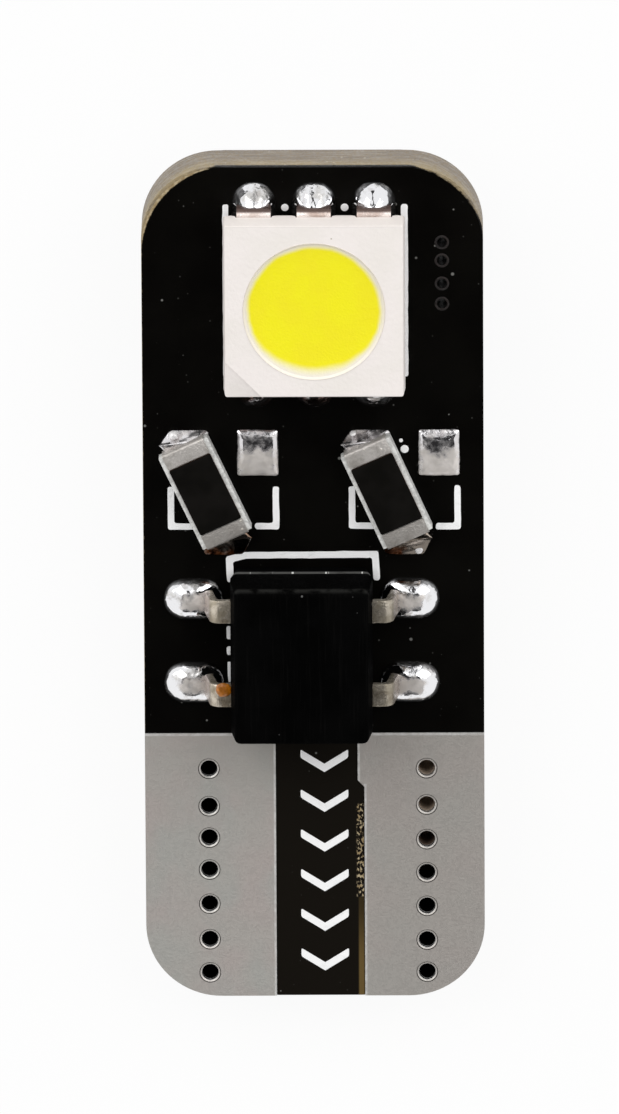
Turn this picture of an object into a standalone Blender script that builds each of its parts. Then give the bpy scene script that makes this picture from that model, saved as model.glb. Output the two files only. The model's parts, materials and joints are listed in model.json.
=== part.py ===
"""A wedge base LED bulb on a flat circuit board.

The board carries one white lamp on each face at its upper end, a bridge rectifier and two small
resistors on the front, two load resistors on the back, and two tinned contacts at its lower end that
push into a wedge base holder. The bulb lies on its back lamp and on the end of its contacts, with its
front face up. Lengths are in metres.
"""

import math

import bmesh
import bpy
from mathutils import Matrix, Vector

MM = 0.001

# Clearances. The wider gap keeps two cuts in the same solder from sharing a plane.
SEAT_GAP = 0.02 * MM
WIDE_SEAT_GAP = 0.03 * MM
SOLDER_FILM = 0.08 * MM

# Circuit board
BOARD_WIDTH = 9.4 * MM
BOARD_THICKNESS = 1.6 * MM
BOARD_CORNER_RADIUS = 2.1 * MM
MASK_THICKNESS = 0.03 * MM
MASK_MARGIN = 0.01 * MM
MASK_CORNER_RADIUS = 2.25 * MM

# Contacts at the wedge end, and the masked strip between them
CONTACT_LENGTH = 7.67 * MM
CONTACT_THICKNESS = 0.06 * MM
STRIP_LEFT_EDGE = 1.08 * MM
STRIP_RIGHT_EDGE = 1.375 * MM
STRIP_NECK_INSET = 0.185 * MM
STRIP_NECK_LENGTH = 1.37 * MM
STRIP_NECK_SLOPE = 0.2 * MM

# Plated holes that join the front and back of each contact
VIA_BORE = 0.44 * MM
VIA_PLATING = 0.04 * MM
VIA_TOP_MARGIN = 1.03 * MM
VIA_END_MARGIN = 0.69 * MM
LEFT_VIA_SHARES = (0.0, 0.184, 0.338, 0.494, 0.663, 0.837, 1.0)
RIGHT_VIA_SHARES = (0.0, 0.178, 0.348, 0.511, 0.675, 0.842, 1.0)
LEFT_VIA_DRIFT = -0.04 * MM
RIGHT_VIA_DRIFT = 0.06 * MM

# Small holes beside the front lamp that carry current through the board
LINK_HOLE = 0.26 * MM
LINK_HOLE_FROM_LED = 1.01 * MM
LINK_HOLE_DROPS = (1.01 * MM, 1.53 * MM, 2.19 * MM, 2.77 * MM)

# Spaces between the rows of pieces, from the board's upper end down
LED_END_MARGIN = 1.16 * MM
LED_TO_FOOTPRINT = 1.40 * MM
FOOTPRINT_TO_RECTIFIER = 0.225 * MM
RECTIFIER_TO_CONTACT = 0.315 * MM
LOAD_TO_CONTACT = 0.60 * MM

# White lamp with a round reflector cup and six folded leads
LED_X = 0.055 * MM
LED_WIDTH = 5.0 * MM
LED_LENGTH = 5.0 * MM
LED_HEIGHT = 1.6 * MM
LED_DRAFT = 0.05 * MM
LED_EDGE = 0.05 * MM
LED_CUP_DIAMETER = 3.90 * MM
LED_CUP_DEPTH = 0.95 * MM
LED_CUP_SLOPE = 0.40 * MM
LED_CUP_LIP = 0.05 * MM
LED_CORNER_MARK = 1.0 * MM
LED_CORNER_MARK_DEPTH = 0.04 * MM
LED_GEL_DIP = 0.10 * MM
LED_GEL_CLIMB = 0.075 * MM
LED_LEAD_PITCH = 1.65 * MM
LED_LEAD_WIDTH = 0.94 * MM
LED_LEAD_THICKNESS = 0.15 * MM
LED_LEAD_EXIT = 0.80 * MM
LED_LEAD_ROOT = 0.25 * MM
LED_LEAD_FOLD = 0.55 * MM
LED_LEAD_BEND = 0.15 * MM
LED_PAD_OVERHANG = 0.11 * MM
LED_PAD_REACH = 0.53 * MM
LED_PAD_TUCK = 0.35 * MM
LED_SOLDER_HEIGHT = 0.80 * MM

# Bridge rectifier with four gull-wing leads
RECTIFIER_X = -0.335 * MM
RECTIFIER_WIDTH = 3.93 * MM
RECTIFIER_LENGTH = 4.65 * MM
RECTIFIER_HEIGHT = 2.42 * MM
RECTIFIER_UNDERSIDE = 0.07 * MM
RECTIFIER_DRAFT = 0.13 * MM
RECTIFIER_EDGE = 0.16 * MM
RECTIFIER_LEAD_PITCH = 2.42 * MM
RECTIFIER_LEAD_SHIFT = 0.06 * MM
RECTIFIER_LEAD_WIDTH = 0.65 * MM
RECTIFIER_LEAD_THICKNESS = 0.22 * MM
RECTIFIER_LEAD_EXIT = 1.15 * MM
RECTIFIER_LEAD_ROOT = 0.30 * MM
RECTIFIER_LEAD_SHOULDER = 0.45 * MM
RECTIFIER_LEAD_SLANT = 0.18 * MM
RECTIFIER_LEAD_FOOT = 0.72 * MM
RECTIFIER_LEAD_BEND = 0.18 * MM
RECTIFIER_PAD_OVERHANG = 0.25 * MM
RECTIFIER_PAD_REACH = 0.48 * MM
RECTIFIER_PAD_SETBACK = 0.22 * MM
RECTIFIER_SOLDER_HEIGHT = 0.40 * MM
RECTIFIER_SOLDER_CROWN = 0.24 * MM

# Three-pad footprints on the front, each with one pad that holds solder alone
FOOTPRINT_PLACES = (-2.48 * MM, 2.52 * MM)
FOOTPRINT_PAD_WIDTH = 1.10 * MM
FOOTPRINT_PAD_LENGTH = 1.28 * MM
FOOTPRINT_PAD_RADIUS = 0.12 * MM
FOOTPRINT_PAD_SPREAD = 1.90 * MM
FOOTPRINT_ROW_PITCH = 2.30 * MM
BARE_PAD_SOLDER_HEIGHT = 0.16 * MM
BARE_PAD_SOLDER_RIDGE = 0.35

# Small resistors, each set slantwise from one pad to another
CHIP_LENGTH = 3.0 * MM
CHIP_WIDTH = 1.49 * MM
CHIP_HEIGHT = 0.55 * MM
CHIP_BAND = 0.45 * MM
CHIP_GLAZE_MARGIN = 0.12 * MM
CHIP_SLIP = (-0.02 * MM, 0.12 * MM)
CHIP_TWISTS = (math.radians(2.4), math.radians(1.6))
CHIP_SOLDER_HEIGHT = 0.42 * MM
CHIP_SOLDER_FULLNESS = 0.4

# Load resistors on the back
LOAD_LENGTH = 6.3 * MM
LOAD_WIDTH = 3.2 * MM
LOAD_HEIGHT = 0.6 * MM
LOAD_BAND = 0.55 * MM
LOAD_GLAZE_MARGIN = 0.10 * MM
LOAD_SPACING = 3.9 * MM
LOAD_PAD_REACH = 0.35 * MM
LOAD_PAD_TUCK = 0.45 * MM
LOAD_PAD_INSET = 0.08 * MM
LOAD_PAD_RADIUS = 0.20 * MM
LOAD_SOLDER_HEIGHT = 0.45 * MM
LOAD_SOLDER_FULLNESS = 0.5
LOAD_SOLDER_RIDGE = 0.85

# Films on the resistors
TERMINAL_THICKNESS = 0.05 * MM
GLAZE_THICKNESS = 0.07 * MM
GLAZE_EDGE = 0.03 * MM

# Facets, the angle at which an edge counts as sharp, and how far round a solder crown is drawn
CORNER_STEPS = 12
VIA_SIDES = 12
LINK_SIDES = 8
CUP_SIDES = 48
GEL_STEPS = 3
BEND_STEPS = 3
TAB_STEPS = 8
PAD_CORNER_STEPS = 3
SOLDER_RINGS = 4
SHARP_ANGLE = math.radians(40)
CROWN_ANGLE = math.radians(80)
WELD = 0.001 * MM
FRAME_SIZE = 0.5 * MM

# Levels above either face of the board
MASK_TOP = SEAT_GAP + MASK_THICKNESS
LED_UNDERSIDE = SOLDER_FILM + LED_LEAD_THICKNESS + 2 * SEAT_GAP
LED_FACE = SOLDER_FILM + LED_HEIGHT
LED_LEAD_LEVEL = SOLDER_FILM + LED_LEAD_EXIT
RECTIFIER_BOTTOM = SOLDER_FILM + RECTIFIER_UNDERSIDE
RECTIFIER_TOP = SOLDER_FILM + RECTIFIER_HEIGHT
RECTIFIER_LEAD_LEVEL = SOLDER_FILM + RECTIFIER_LEAD_EXIT

# Reaches of the leads from the middle of their package
LED_LEAD_WALL = LED_LENGTH / 2 + 2 * SEAT_GAP + LED_LEAD_THICKNESS / 2
RECTIFIER_KNEE = RECTIFIER_WIDTH / 2 + RECTIFIER_LEAD_SHOULDER
RECTIFIER_ANKLE = RECTIFIER_KNEE + RECTIFIER_LEAD_SLANT
RECTIFIER_TOE = RECTIFIER_ANKLE + RECTIFIER_LEAD_FOOT

# Depths below the upper end. Each row follows the one above it, and the board is as long as they need.
LED_DROP = LED_END_MARGIN + LED_LENGTH / 2
UPPER_PAD_DROP = LED_DROP + LED_LENGTH / 2 + LED_TO_FOOTPRINT + FOOTPRINT_PAD_LENGTH / 2
LOWER_PAD_DROP = UPPER_PAD_DROP + FOOTPRINT_ROW_PITCH
RECTIFIER_DROP = LOWER_PAD_DROP + FOOTPRINT_PAD_LENGTH / 2 + FOOTPRINT_TO_RECTIFIER + RECTIFIER_LENGTH / 2
CONTACT_DROP = RECTIFIER_DROP + RECTIFIER_LENGTH / 2 + RECTIFIER_TO_CONTACT
LOAD_DROP = CONTACT_DROP - LOAD_TO_CONTACT - LOAD_PAD_REACH - LOAD_LENGTH / 2

HALF_WIDTH = BOARD_WIDTH / 2
HALF_LENGTH = (CONTACT_DROP + CONTACT_LENGTH) / 2
FACE_LEVEL = BOARD_THICKNESS / 2
CONTACT_TOP = HALF_LENGTH - CONTACT_DROP
CONTACT_MIDDLE_LEVEL = FACE_LEVEL + SEAT_GAP + CONTACT_THICKNESS / 2

FRONT, BACK = "front", "back"
OUTWARD = {"upper": math.radians(90), "lower": math.radians(-90)}


def clear_scene():
    for obj in list(bpy.data.objects):
        bpy.data.objects.remove(obj, do_unlink=True)


def new_collection(name, parent=None):
    group = bpy.data.collections.new(name)
    (parent or bpy.context.scene.collection).children.link(group)
    return group


def principled(name, colour, roughness, metallic=0.0, coat=0.0):
    material = bpy.data.materials.new(name)
    material.use_nodes = True
    shader = material.node_tree.nodes["Principled BSDF"]
    shader.inputs["Base Color"].default_value = (*colour, 1.0)
    shader.inputs["Roughness"].default_value = roughness
    shader.inputs["Metallic"].default_value = metallic
    shader.inputs["Coat Weight"].default_value = coat
    material.diffuse_color = (*colour, 1.0)
    return material


clear_scene()
PARTS = new_collection("wedge_base_led_bulb")
CUTTERS = new_collection("cutters")
OPENINGS = {side: new_collection(side + "_mask_openings", CUTTERS) for side in (FRONT, BACK)}

BOARD_FINISH = principled("glass_epoxy_board", (0.56, 0.49, 0.36), 0.6)
MASK_FINISH = principled("black_solder_mask", (0.012, 0.011, 0.010), 0.25, coat=0.4)
CONTACT_FINISH = principled("tinned_contact", (0.42, 0.39, 0.36), 0.42, metallic=0.8)
HOUSING_FINISH = principled("white_lamp_housing", (0.86, 0.82, 0.78), 0.45)
PHOSPHOR_FINISH = principled("yellow_phosphor", (0.92, 0.80, 0.02), 0.35)
LEAD_FINISH = principled("tinned_lead", (0.62, 0.57, 0.52), 0.3, metallic=0.9)
SOLDER_FINISH = principled("solder", (0.75, 0.75, 0.76), 0.15, metallic=1.0)
EPOXY_FINISH = principled("rectifier_epoxy", (0.012, 0.012, 0.013), 0.22)
CERAMIC_FINISH = principled("white_ceramic", (0.78, 0.78, 0.76), 0.5)
GLAZE_FINISH = principled("black_glaze", (0.010, 0.010, 0.011), 0.2)
TERMINAL_FINISH = principled("tinned_terminal", (0.45, 0.45, 0.46), 0.35, metallic=0.85)


# Objects, and how one cuts or joins another

def frame(name, parent, location=(0.0, 0.0, 0.0), turn=0.0):
    """An empty that carries pieces, turned about its own Z."""
    empty = bpy.data.objects.new(name, None)
    empty.empty_display_size = FRAME_SIZE
    empty.parent = parent
    empty.location = location
    empty.rotation_euler = (0.0, 0.0, turn)
    PARTS.objects.link(empty)
    return empty


def piece(obj, parent, material):
    """Puts an object under its frame as one of the bulb's own pieces."""
    obj.parent = parent
    obj.data.materials.append(material)
    PARTS.objects.link(obj)
    return obj


def helper(obj, parent, group=None):
    """Puts an object under its frame as a cutter or as the other half of a join."""
    obj.parent = parent
    obj.hide_render = True
    obj.display_type = "WIRE"
    (group or CUTTERS).objects.link(obj)
    return obj


def boolean(obj, operation, other):
    modifier = obj.modifiers.new(operation.lower() + "_" + other.name, "BOOLEAN")
    modifier.operation = operation
    modifier.object = other


def cut(obj, *cutters):
    for cutter in cutters:
        boolean(obj, "DIFFERENCE", cutter)


def join(obj, *others):
    for other in others:
        boolean(obj, "UNION", other)


def cut_all(obj, group):
    """Cuts with every object of a collection."""
    modifier = obj.modifiers.new("cut_" + group.name, "BOOLEAN")
    modifier.operation = "DIFFERENCE"
    modifier.operand_type = "COLLECTION"
    modifier.collection = group


def round_edges(obj, width, segments):
    bevel = obj.modifiers.new("rounded_edges", "BEVEL")
    bevel.width = width
    bevel.segments = segments
    bevel.limit_method = "ANGLE"
    bevel.angle_limit = SHARP_ANGLE


def mesh_object(name, bm):
    bmesh.ops.recalc_face_normals(bm, faces=bm.faces)
    mesh = bpy.data.meshes.new(name)
    bm.to_mesh(mesh)
    bm.free()
    mesh.shade_smooth()
    mesh.set_sharp_from_angle(angle=SHARP_ANGLE)
    return bpy.data.objects.new(name, mesh)


# Outlines, as lists of (x, y) points

def arc(x, y, radius, start, end, steps):
    """Points round part of a circle, between two angles in degrees."""
    angles = [math.radians(start + (end - start) * step / steps) for step in range(steps + 1)]
    return [(x + radius * math.cos(angle), y + radius * math.sin(angle)) for angle in angles]


def circle(x, y, diameter, sides):
    return arc(x, y, diameter / 2, 0, 360 * (sides - 1) / sides, sides - 1)


def rounded_rectangle(low, high, radius, steps):
    left, bottom = low[0] + radius, low[1] + radius
    right, top = high[0] - radius, high[1] - radius
    return (
        arc(right, top, radius, 0, 90, steps)
        + arc(left, top, radius, 90, 180, steps)
        + arc(left, bottom, radius, 180, 270, steps)
        + arc(right, bottom, radius, 270, 360, steps)
    )


def tab(inner, outer, half):
    """A pad that is square at its inner end and round at its outer end."""
    return [(inner, half), (inner, -half)] + arc(outer - half, 0.0, half, -90, 90, TAB_STEPS)


def oval(inner, outer, half):
    """A pad that is round at both ends."""
    return (
        arc(outer - half, 0.0, half, -90, 90, TAB_STEPS)
        + arc(inner + half, 0.0, half, 90, 270, TAB_STEPS)
    )


def bent(points, radius):
    """An open path with its corners rounded."""
    path = [Vector(points[0])]
    for before, corner, after in zip(map(Vector, points), map(Vector, points[1:]), map(Vector, points[2:])):
        start = corner + (before - corner).normalized() * radius
        end = corner + (after - corner).normalized() * radius
        for step in range(BEND_STEPS + 1):
            share = step / BEND_STEPS
            path.append(start.lerp(corner, share).lerp(corner.lerp(end, share), share))
    path.append(Vector(points[-1]))
    return path


def stretched(path, margin):
    """The same path, longer by a margin at each end."""
    first = path[0] + (path[0] - path[1]).normalized() * margin
    last = path[-1] + (path[-1] - path[-2]).normalized() * margin
    return [first] + path[1:-1] + [last]


# Shapes

def flat_curve(name, outlines, thickness):
    """A plate as a filled 2D curve. The first outline is its edge and the others are holes."""
    curve = bpy.data.curves.new(name, "CURVE")
    curve.dimensions = "2D"
    curve.fill_mode = "BOTH"
    curve.extrude = thickness / 2
    for outline in outlines:
        spline = curve.splines.new("POLY")
        spline.points.add(len(outline) - 1)
        for point, (x, y) in zip(spline.points, outline):
            point.co = (x, y, 0.0, 1.0)
        spline.use_cyclic_u = True
    return bpy.data.objects.new(name, curve)


def flat_plate(name, outlines, thickness, level):
    """The same plate as a welded mesh about a level, ready to be cut or joined."""
    source = flat_curve(name + "_outline", outlines, thickness)
    bpy.context.scene.collection.objects.link(source)
    graph = bpy.context.evaluated_depsgraph_get()
    mesh = bpy.data.meshes.new_from_object(source.evaluated_get(graph))
    bpy.data.objects.remove(source, do_unlink=True)
    bm = bmesh.new()
    bm.from_mesh(mesh)
    bpy.data.meshes.remove(mesh)
    bmesh.ops.remove_doubles(bm, verts=bm.verts, dist=WELD)
    bmesh.ops.translate(bm, verts=bm.verts, vec=(0.0, 0.0, level))
    return mesh_object(name, bm)


def raised(name, outline, levels, crown=(0.0, 0.0)):
    """An outline extruded upwards. Each level is (height, share along x, share along y) about the crown."""
    bm = bmesh.new()
    face = bm.faces.new([bm.verts.new((x, y, levels[0][0])) for x, y in outline])
    about_crown = Matrix.Translation((-crown[0], -crown[1], 0.0))
    base = face
    for below, above in zip(levels, levels[1:]):
        grown = bmesh.ops.extrude_face_region(bm, geom=[face])["geom"]
        if face is not base:
            bmesh.ops.delete(bm, geom=[face], context="FACES_ONLY")
        face = next(item for item in grown if isinstance(item, bmesh.types.BMFace))
        shrink = (above[1] / below[1], above[2] / below[2], 1.0)
        bmesh.ops.scale(bm, verts=face.verts, vec=shrink, space=about_crown)
        bmesh.ops.translate(bm, verts=face.verts, vec=(0.0, 0.0, above[0] - below[0]))
    return mesh_object(name, bm)


def box(name, low, high):
    """A block between two corners."""
    bm = bmesh.new()
    bmesh.ops.create_cube(bm, size=1.0)
    low, high = Vector(low), Vector(high)
    bmesh.ops.scale(bm, verts=bm.verts, vec=high - low)
    bmesh.ops.translate(bm, verts=bm.verts, vec=(low + high) / 2)
    return mesh_object(name, bm)


def moulded_block(name, width, length, bottom, parting, top, draft):
    """A moulded body, widest at its parting line and drawn in above and below it."""
    half_x, half_y = width / 2, length / 2
    bm = bmesh.new()
    bmesh.ops.create_cube(bm, size=1.0)
    bmesh.ops.scale(bm, verts=bm.verts, vec=(width, length, top - bottom))
    bmesh.ops.translate(bm, verts=bm.verts, vec=(0.0, 0.0, (top + bottom) / 2))
    everything = list(bm.verts) + list(bm.edges) + list(bm.faces)
    bmesh.ops.bisect_plane(bm, geom=everything, plane_co=(0.0, 0.0, parting), plane_no=(0.0, 0.0, 1.0))
    ends = [vert for vert in bm.verts if abs(vert.co.z - parting) > WELD]
    bmesh.ops.scale(bm, verts=ends, vec=(1 - draft / half_x, 1 - draft / half_y, 1.0))
    return mesh_object(name, bm)


def turned(name, profile, sides):
    """A round piece from a profile of (radius, height) that runs down its outer side."""
    bm = bmesh.new()
    line = [bm.verts.new((radius, 0.0, height)) for radius, height in profile]
    for pair in zip(line, line[1:]):
        bm.edges.new(pair)
    mesh = bpy.data.meshes.new(name)
    bm.to_mesh(mesh)
    bm.free()
    obj = bpy.data.objects.new(name, mesh)
    screw = obj.modifiers.new("turned", "SCREW")
    screw.steps = sides
    screw.render_steps = sides
    screw.use_merge_vertices = True
    screw.merge_threshold = WELD
    return obj


def strip(name, path, width, thickness):
    """A bent strip of sheet metal, from a centre line of (outward, height) points."""
    bm = bmesh.new()
    line = [bm.verts.new((outward, -width / 2, height)) for outward, height in path]
    edges = [bm.edges.new(pair) for pair in zip(line, line[1:])]
    swept = bmesh.ops.extrude_edge_only(bm, edges=edges)["geom"]
    far_side = [item for item in swept if isinstance(item, bmesh.types.BMVert)]
    bmesh.ops.translate(bm, verts=far_side, vec=(0.0, width, 0.0))
    obj = mesh_object(name, bm)
    sheet = obj.modifiers.new("sheet", "SOLIDIFY")
    sheet.thickness = thickness
    sheet.offset = 0.0
    sheet.use_even_offset = True
    return obj


def posts(name, places, diameter, half_height):
    """Upright round posts through the board, as one helper mesh."""
    bm = bmesh.new()
    for x, y in places:
        bmesh.ops.create_cone(
            bm,
            cap_ends=True,
            segments=VIA_SIDES,
            radius1=diameter / 2,
            radius2=diameter / 2,
            depth=2 * half_height,
            matrix=Matrix.Translation((x, y, 0.0)),
        )
    return mesh_object(name, bm)


def solder(name, outline, height, crown, fullness=1.0, ridge=0.0):
    """A solder deposit: its pad's outline through the mask, then drawn in to a crown.

    Fullness runs from 0, a heap with hollow sides, to 1, a round one. Ridge is the share of the
    pad's width that the top keeps.
    """
    levels = [(SEAT_GAP, 1.0, 1.0), (MASK_TOP, 1.0, 1.0)]
    for ring in range(1, SOLDER_RINGS + 1):
        angle = CROWN_ANGLE * ring / SOLDER_RINGS
        share = fullness * math.cos(angle) + (1 - fullness) * (1 - math.sin(angle))
        levels.append((MASK_TOP + height * math.sin(angle), share, ridge + (1 - ridge) * share))
    return raised(name, outline, levels, crown)


def open_mask(side, name, parent, outline):
    """Leaves a pad bare of solder mask."""
    levels = [(0.0, 1.0, 1.0), (MASK_TOP + SEAT_GAP, 1.0, 1.0)]
    helper(raised(name + "_opening", outline, levels), parent, OPENINGS[side])


# Board, masks and contacts

def strip_edges(side, margin):
    """How far the masked strip reaches to the left, to the right, and to the right at its neck."""
    neck = STRIP_NECK_INSET if side == FRONT else 0.0
    return -STRIP_LEFT_EDGE + margin, STRIP_RIGHT_EDGE - margin, STRIP_RIGHT_EDGE - neck - margin


def via_places(direction):
    """Centres of the plated holes of the left contact, -1, or the right one, 1."""
    inner = STRIP_LEFT_EDGE if direction < 0 else STRIP_RIGHT_EDGE
    drift = LEFT_VIA_DRIFT if direction < 0 else RIGHT_VIA_DRIFT
    shares = LEFT_VIA_SHARES if direction < 0 else RIGHT_VIA_SHARES
    x = direction * (inner + HALF_WIDTH) / 2 + drift
    run = CONTACT_LENGTH - VIA_TOP_MARGIN - VIA_END_MARGIN
    return [(x, CONTACT_TOP - VIA_TOP_MARGIN - run * share) for share in shares]


def link_holes():
    x = LED_X + LED_WIDTH / 2 + LINK_HOLE_FROM_LED
    top = HALF_LENGTH - LED_END_MARGIN
    return [circle(x, top - drop, LINK_HOLE, LINK_SIDES) for drop in LINK_HOLE_DROPS]


def board_core(parent):
    edge = rounded_rectangle(
        (-HALF_WIDTH, -HALF_LENGTH), (HALF_WIDTH, HALF_LENGTH), BOARD_CORNER_RADIUS, CORNER_STEPS
    )
    drilled = VIA_BORE + 2 * VIA_PLATING + 2 * SEAT_GAP
    drilling = [circle(x, y, drilled, VIA_SIDES) for x, y in via_places(-1) + via_places(1)]
    core = flat_curve("board_core", [edge] + drilling + link_holes(), BOARD_THICKNESS)
    piece(core, parent, BOARD_FINISH)


def solder_mask(side, parent):
    """The mask's field round the parts and its strip between the contacts."""
    left, right, neck = strip_edges(side, SEAT_GAP)
    field = CONTACT_TOP + SEAT_GAP
    reach_x = HALF_WIDTH - MASK_MARGIN
    reach_y = HALF_LENGTH - MASK_MARGIN
    radius = MASK_CORNER_RADIUS
    edge = [(-reach_x, field), (left, field), (left, -reach_y), (right, -reach_y)]
    if neck < right:
        bend = CONTACT_TOP - STRIP_NECK_LENGTH
        edge += [(right, bend - STRIP_NECK_SLOPE), (neck, bend)]
    edge += [(neck, field), (reach_x, field)]
    edge += arc(reach_x - radius, reach_y - radius, radius, 0, 90, CORNER_STEPS)
    edge += arc(radius - reach_x, reach_y - radius, radius, 90, 180, CORNER_STEPS)
    level = FACE_LEVEL + SEAT_GAP + MASK_THICKNESS / 2
    mask = flat_plate(
        side + "_solder_mask", [edge] + link_holes(), MASK_THICKNESS, level if side == FRONT else -level
    )
    piece(mask, parent, MASK_FINISH)
    cut_all(mask, OPENINGS[side])


def contact_plate(name, side, direction):
    """One face of a contact, from the masked strip out to the board's edge."""
    left, right, neck = strip_edges(side, 0.0)
    inner, top_inner = (-left, -left) if direction < 0 else (right, neck)
    radius = BOARD_CORNER_RADIUS
    edge = [(top_inner, CONTACT_TOP), (HALF_WIDTH, CONTACT_TOP)]
    edge += arc(HALF_WIDTH - radius, radius - HALF_LENGTH, radius, 0, -90, CORNER_STEPS)
    edge.append((inner, -HALF_LENGTH))
    if top_inner < inner:
        bend = CONTACT_TOP - STRIP_NECK_LENGTH
        edge += [(inner, bend - STRIP_NECK_SLOPE), (top_inner, bend)]
    edge = [(direction * x, y) for x, y in edge]
    level = CONTACT_MIDDLE_LEVEL if side == FRONT else -CONTACT_MIDDLE_LEVEL
    return flat_plate(name, [edge], CONTACT_THICKNESS, level)


def contact(name, direction, parent):
    """A contact's two plates and the plated holes between them, in one piece of metal."""
    places = via_places(direction)
    metal = piece(contact_plate(name, FRONT, direction), parent, CONTACT_FINISH)
    barrels = posts(name + "_barrels", places, VIA_BORE + 2 * VIA_PLATING, CONTACT_MIDDLE_LEVEL)
    bores = posts(name + "_bores", places, VIA_BORE, 2 * CONTACT_MIDDLE_LEVEL)
    back_plate = contact_plate(name + "_back_plate", BACK, direction)
    join(metal, helper(barrels, parent), helper(back_plate, parent))
    cut(metal, helper(bores, parent))


# Lamps

def led_pad(margin=0.0):
    half = LED_LEAD_WIDTH / 2 + LED_PAD_OVERHANG + margin
    outer = LED_LEAD_WALL + LED_LEAD_THICKNESS / 2 + LED_PAD_REACH + margin
    return tab(LED_LENGTH / 2 - LED_PAD_TUCK - margin, outer, half)


def led_lead_path():
    """The lead's centre line: out of the body, down its side and in under it."""
    foot = SOLDER_FILM + LED_LEAD_THICKNESS / 2
    corners = [
        (LED_LENGTH / 2 - LED_LEAD_ROOT, LED_LEAD_LEVEL),
        (LED_LEAD_WALL, LED_LEAD_LEVEL),
        (LED_LEAD_WALL, foot),
        (LED_LEAD_WALL - LED_LEAD_FOLD, foot),
    ]
    return bent(corners, LED_LEAD_BEND)


def led_lead(side, prefix, number, seat, housing):
    """One folded lead on its pad. On the front the solder is a piece of its own."""
    name = f"{prefix}_lead_{number}"
    path = led_lead_path()
    lead = piece(strip(name, path, LED_LEAD_WIDTH, LED_LEAD_THICKNESS), seat, LEAD_FINISH)
    room = strip(
        name + "_room",
        stretched(path, SEAT_GAP),
        LED_LEAD_WIDTH + 2 * SEAT_GAP,
        LED_LEAD_THICKNESS + 2 * SEAT_GAP,
    )
    cut(housing, helper(room, seat))
    body = box(
        name + "_body_room",
        (0.0, -LED_LEAD_PITCH, LED_UNDERSIDE - WIDE_SEAT_GAP),
        (LED_LENGTH / 2 + WIDE_SEAT_GAP, LED_LEAD_PITCH, LED_FACE),
    )
    deposit = solder(
        f"{prefix}_solder_{number}", led_pad(), LED_SOLDER_HEIGHT, (LED_LEAD_WALL + LED_LEAD_THICKNESS, 0.0)
    )
    cut(deposit, helper(body, seat))
    if side == FRONT:
        piece(deposit, seat, SOLDER_FINISH)
        cut(deposit, room)
    else:
        join(lead, helper(deposit, seat))
    open_mask(side, name, seat, led_pad(SEAT_GAP))


def led_corner_mark(prefix, seat):
    """A shallow triangular step across one corner of the lamp's face."""
    mark = box(
        prefix + "_corner_mark",
        (-LED_WIDTH, -LED_WIDTH, LED_FACE - LED_CORNER_MARK_DEPTH),
        (LED_WIDTH, 0.0, LED_FACE + LED_CORNER_MARK_DEPTH),
    )
    helper(mark, seat)
    reach = LED_CORNER_MARK / 2
    mark.location = (LED_DRAFT + reach - LED_WIDTH / 2, LED_DRAFT + reach - LED_LENGTH / 2, 0.0)
    mark.rotation_euler = (0.0, 0.0, math.radians(-45))
    return mark


def led(side, face):
    """A moulded housing with a reflector cup full of phosphor gel, on six leads."""
    prefix = side + "_led"
    seat = frame(prefix + "_seat", face, (LED_X, HALF_LENGTH - LED_DROP, 0.0))
    housing = moulded_block(
        prefix + "_housing", LED_WIDTH, LED_LENGTH, LED_UNDERSIDE, LED_LEAD_LEVEL, LED_FACE, LED_DRAFT
    )
    piece(housing, seat, HOUSING_FINISH)
    round_edges(housing, LED_EDGE, 2)
    rim = LED_CUP_DIAMETER / 2
    floor = LED_FACE - LED_CUP_DEPTH
    lip = LED_FACE - LED_CUP_LIP
    above = LED_FACE + LED_CUP_LIP
    cup_profile = [(0.0, above), (rim, above), (rim, lip), (rim - LED_CUP_SLOPE, floor), (0.0, floor)]
    cup = turned(prefix + "_cup", cup_profile, CUP_SIDES)
    cut(housing, helper(cup, seat), led_corner_mark(prefix, seat))
    gel_rim = rim - SEAT_GAP
    gel_floor = floor + SEAT_GAP
    gel_profile = []
    for step in range(GEL_STEPS + 1):
        share = step / GEL_STEPS
        gel_profile.append((gel_rim * share, LED_FACE - LED_GEL_DIP + LED_GEL_CLIMB * share ** 2))
    gel_profile += [(gel_rim, lip), (gel_rim - LED_CUP_SLOPE, gel_floor), (0.0, gel_floor)]
    gel = turned(prefix + "_phosphor", gel_profile, CUP_SIDES)
    piece(gel, seat, PHOSPHOR_FINISH)
    number = 1
    for row in ("upper", "lower"):
        for column in (-1, 0, 1):
            at = (column * LED_LEAD_PITCH, 0.0, 0.0)
            place = frame(f"{prefix}_lead_{number}_seat", seat, at, OUTWARD[row])
            led_lead(side, prefix, number, place, housing)
            number += 1


# Bridge rectifier

def rectifier_pad(margin=0.0):
    half = RECTIFIER_LEAD_WIDTH / 2 + RECTIFIER_PAD_OVERHANG + margin
    inner = RECTIFIER_WIDTH / 2 + RECTIFIER_PAD_SETBACK - margin
    return oval(inner, RECTIFIER_TOE + RECTIFIER_PAD_REACH + margin, half)


def rectifier_lead_path():
    """The gull-wing centre line: out of the body, down a slant and out along its foot."""
    foot = SOLDER_FILM + RECTIFIER_LEAD_THICKNESS / 2
    corners = [
        (RECTIFIER_WIDTH / 2 - RECTIFIER_LEAD_ROOT, RECTIFIER_LEAD_LEVEL),
        (RECTIFIER_KNEE, RECTIFIER_LEAD_LEVEL),
        (RECTIFIER_ANKLE, foot),
        (RECTIFIER_TOE, foot),
    ]
    return bent(corners, RECTIFIER_LEAD_BEND)


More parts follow.
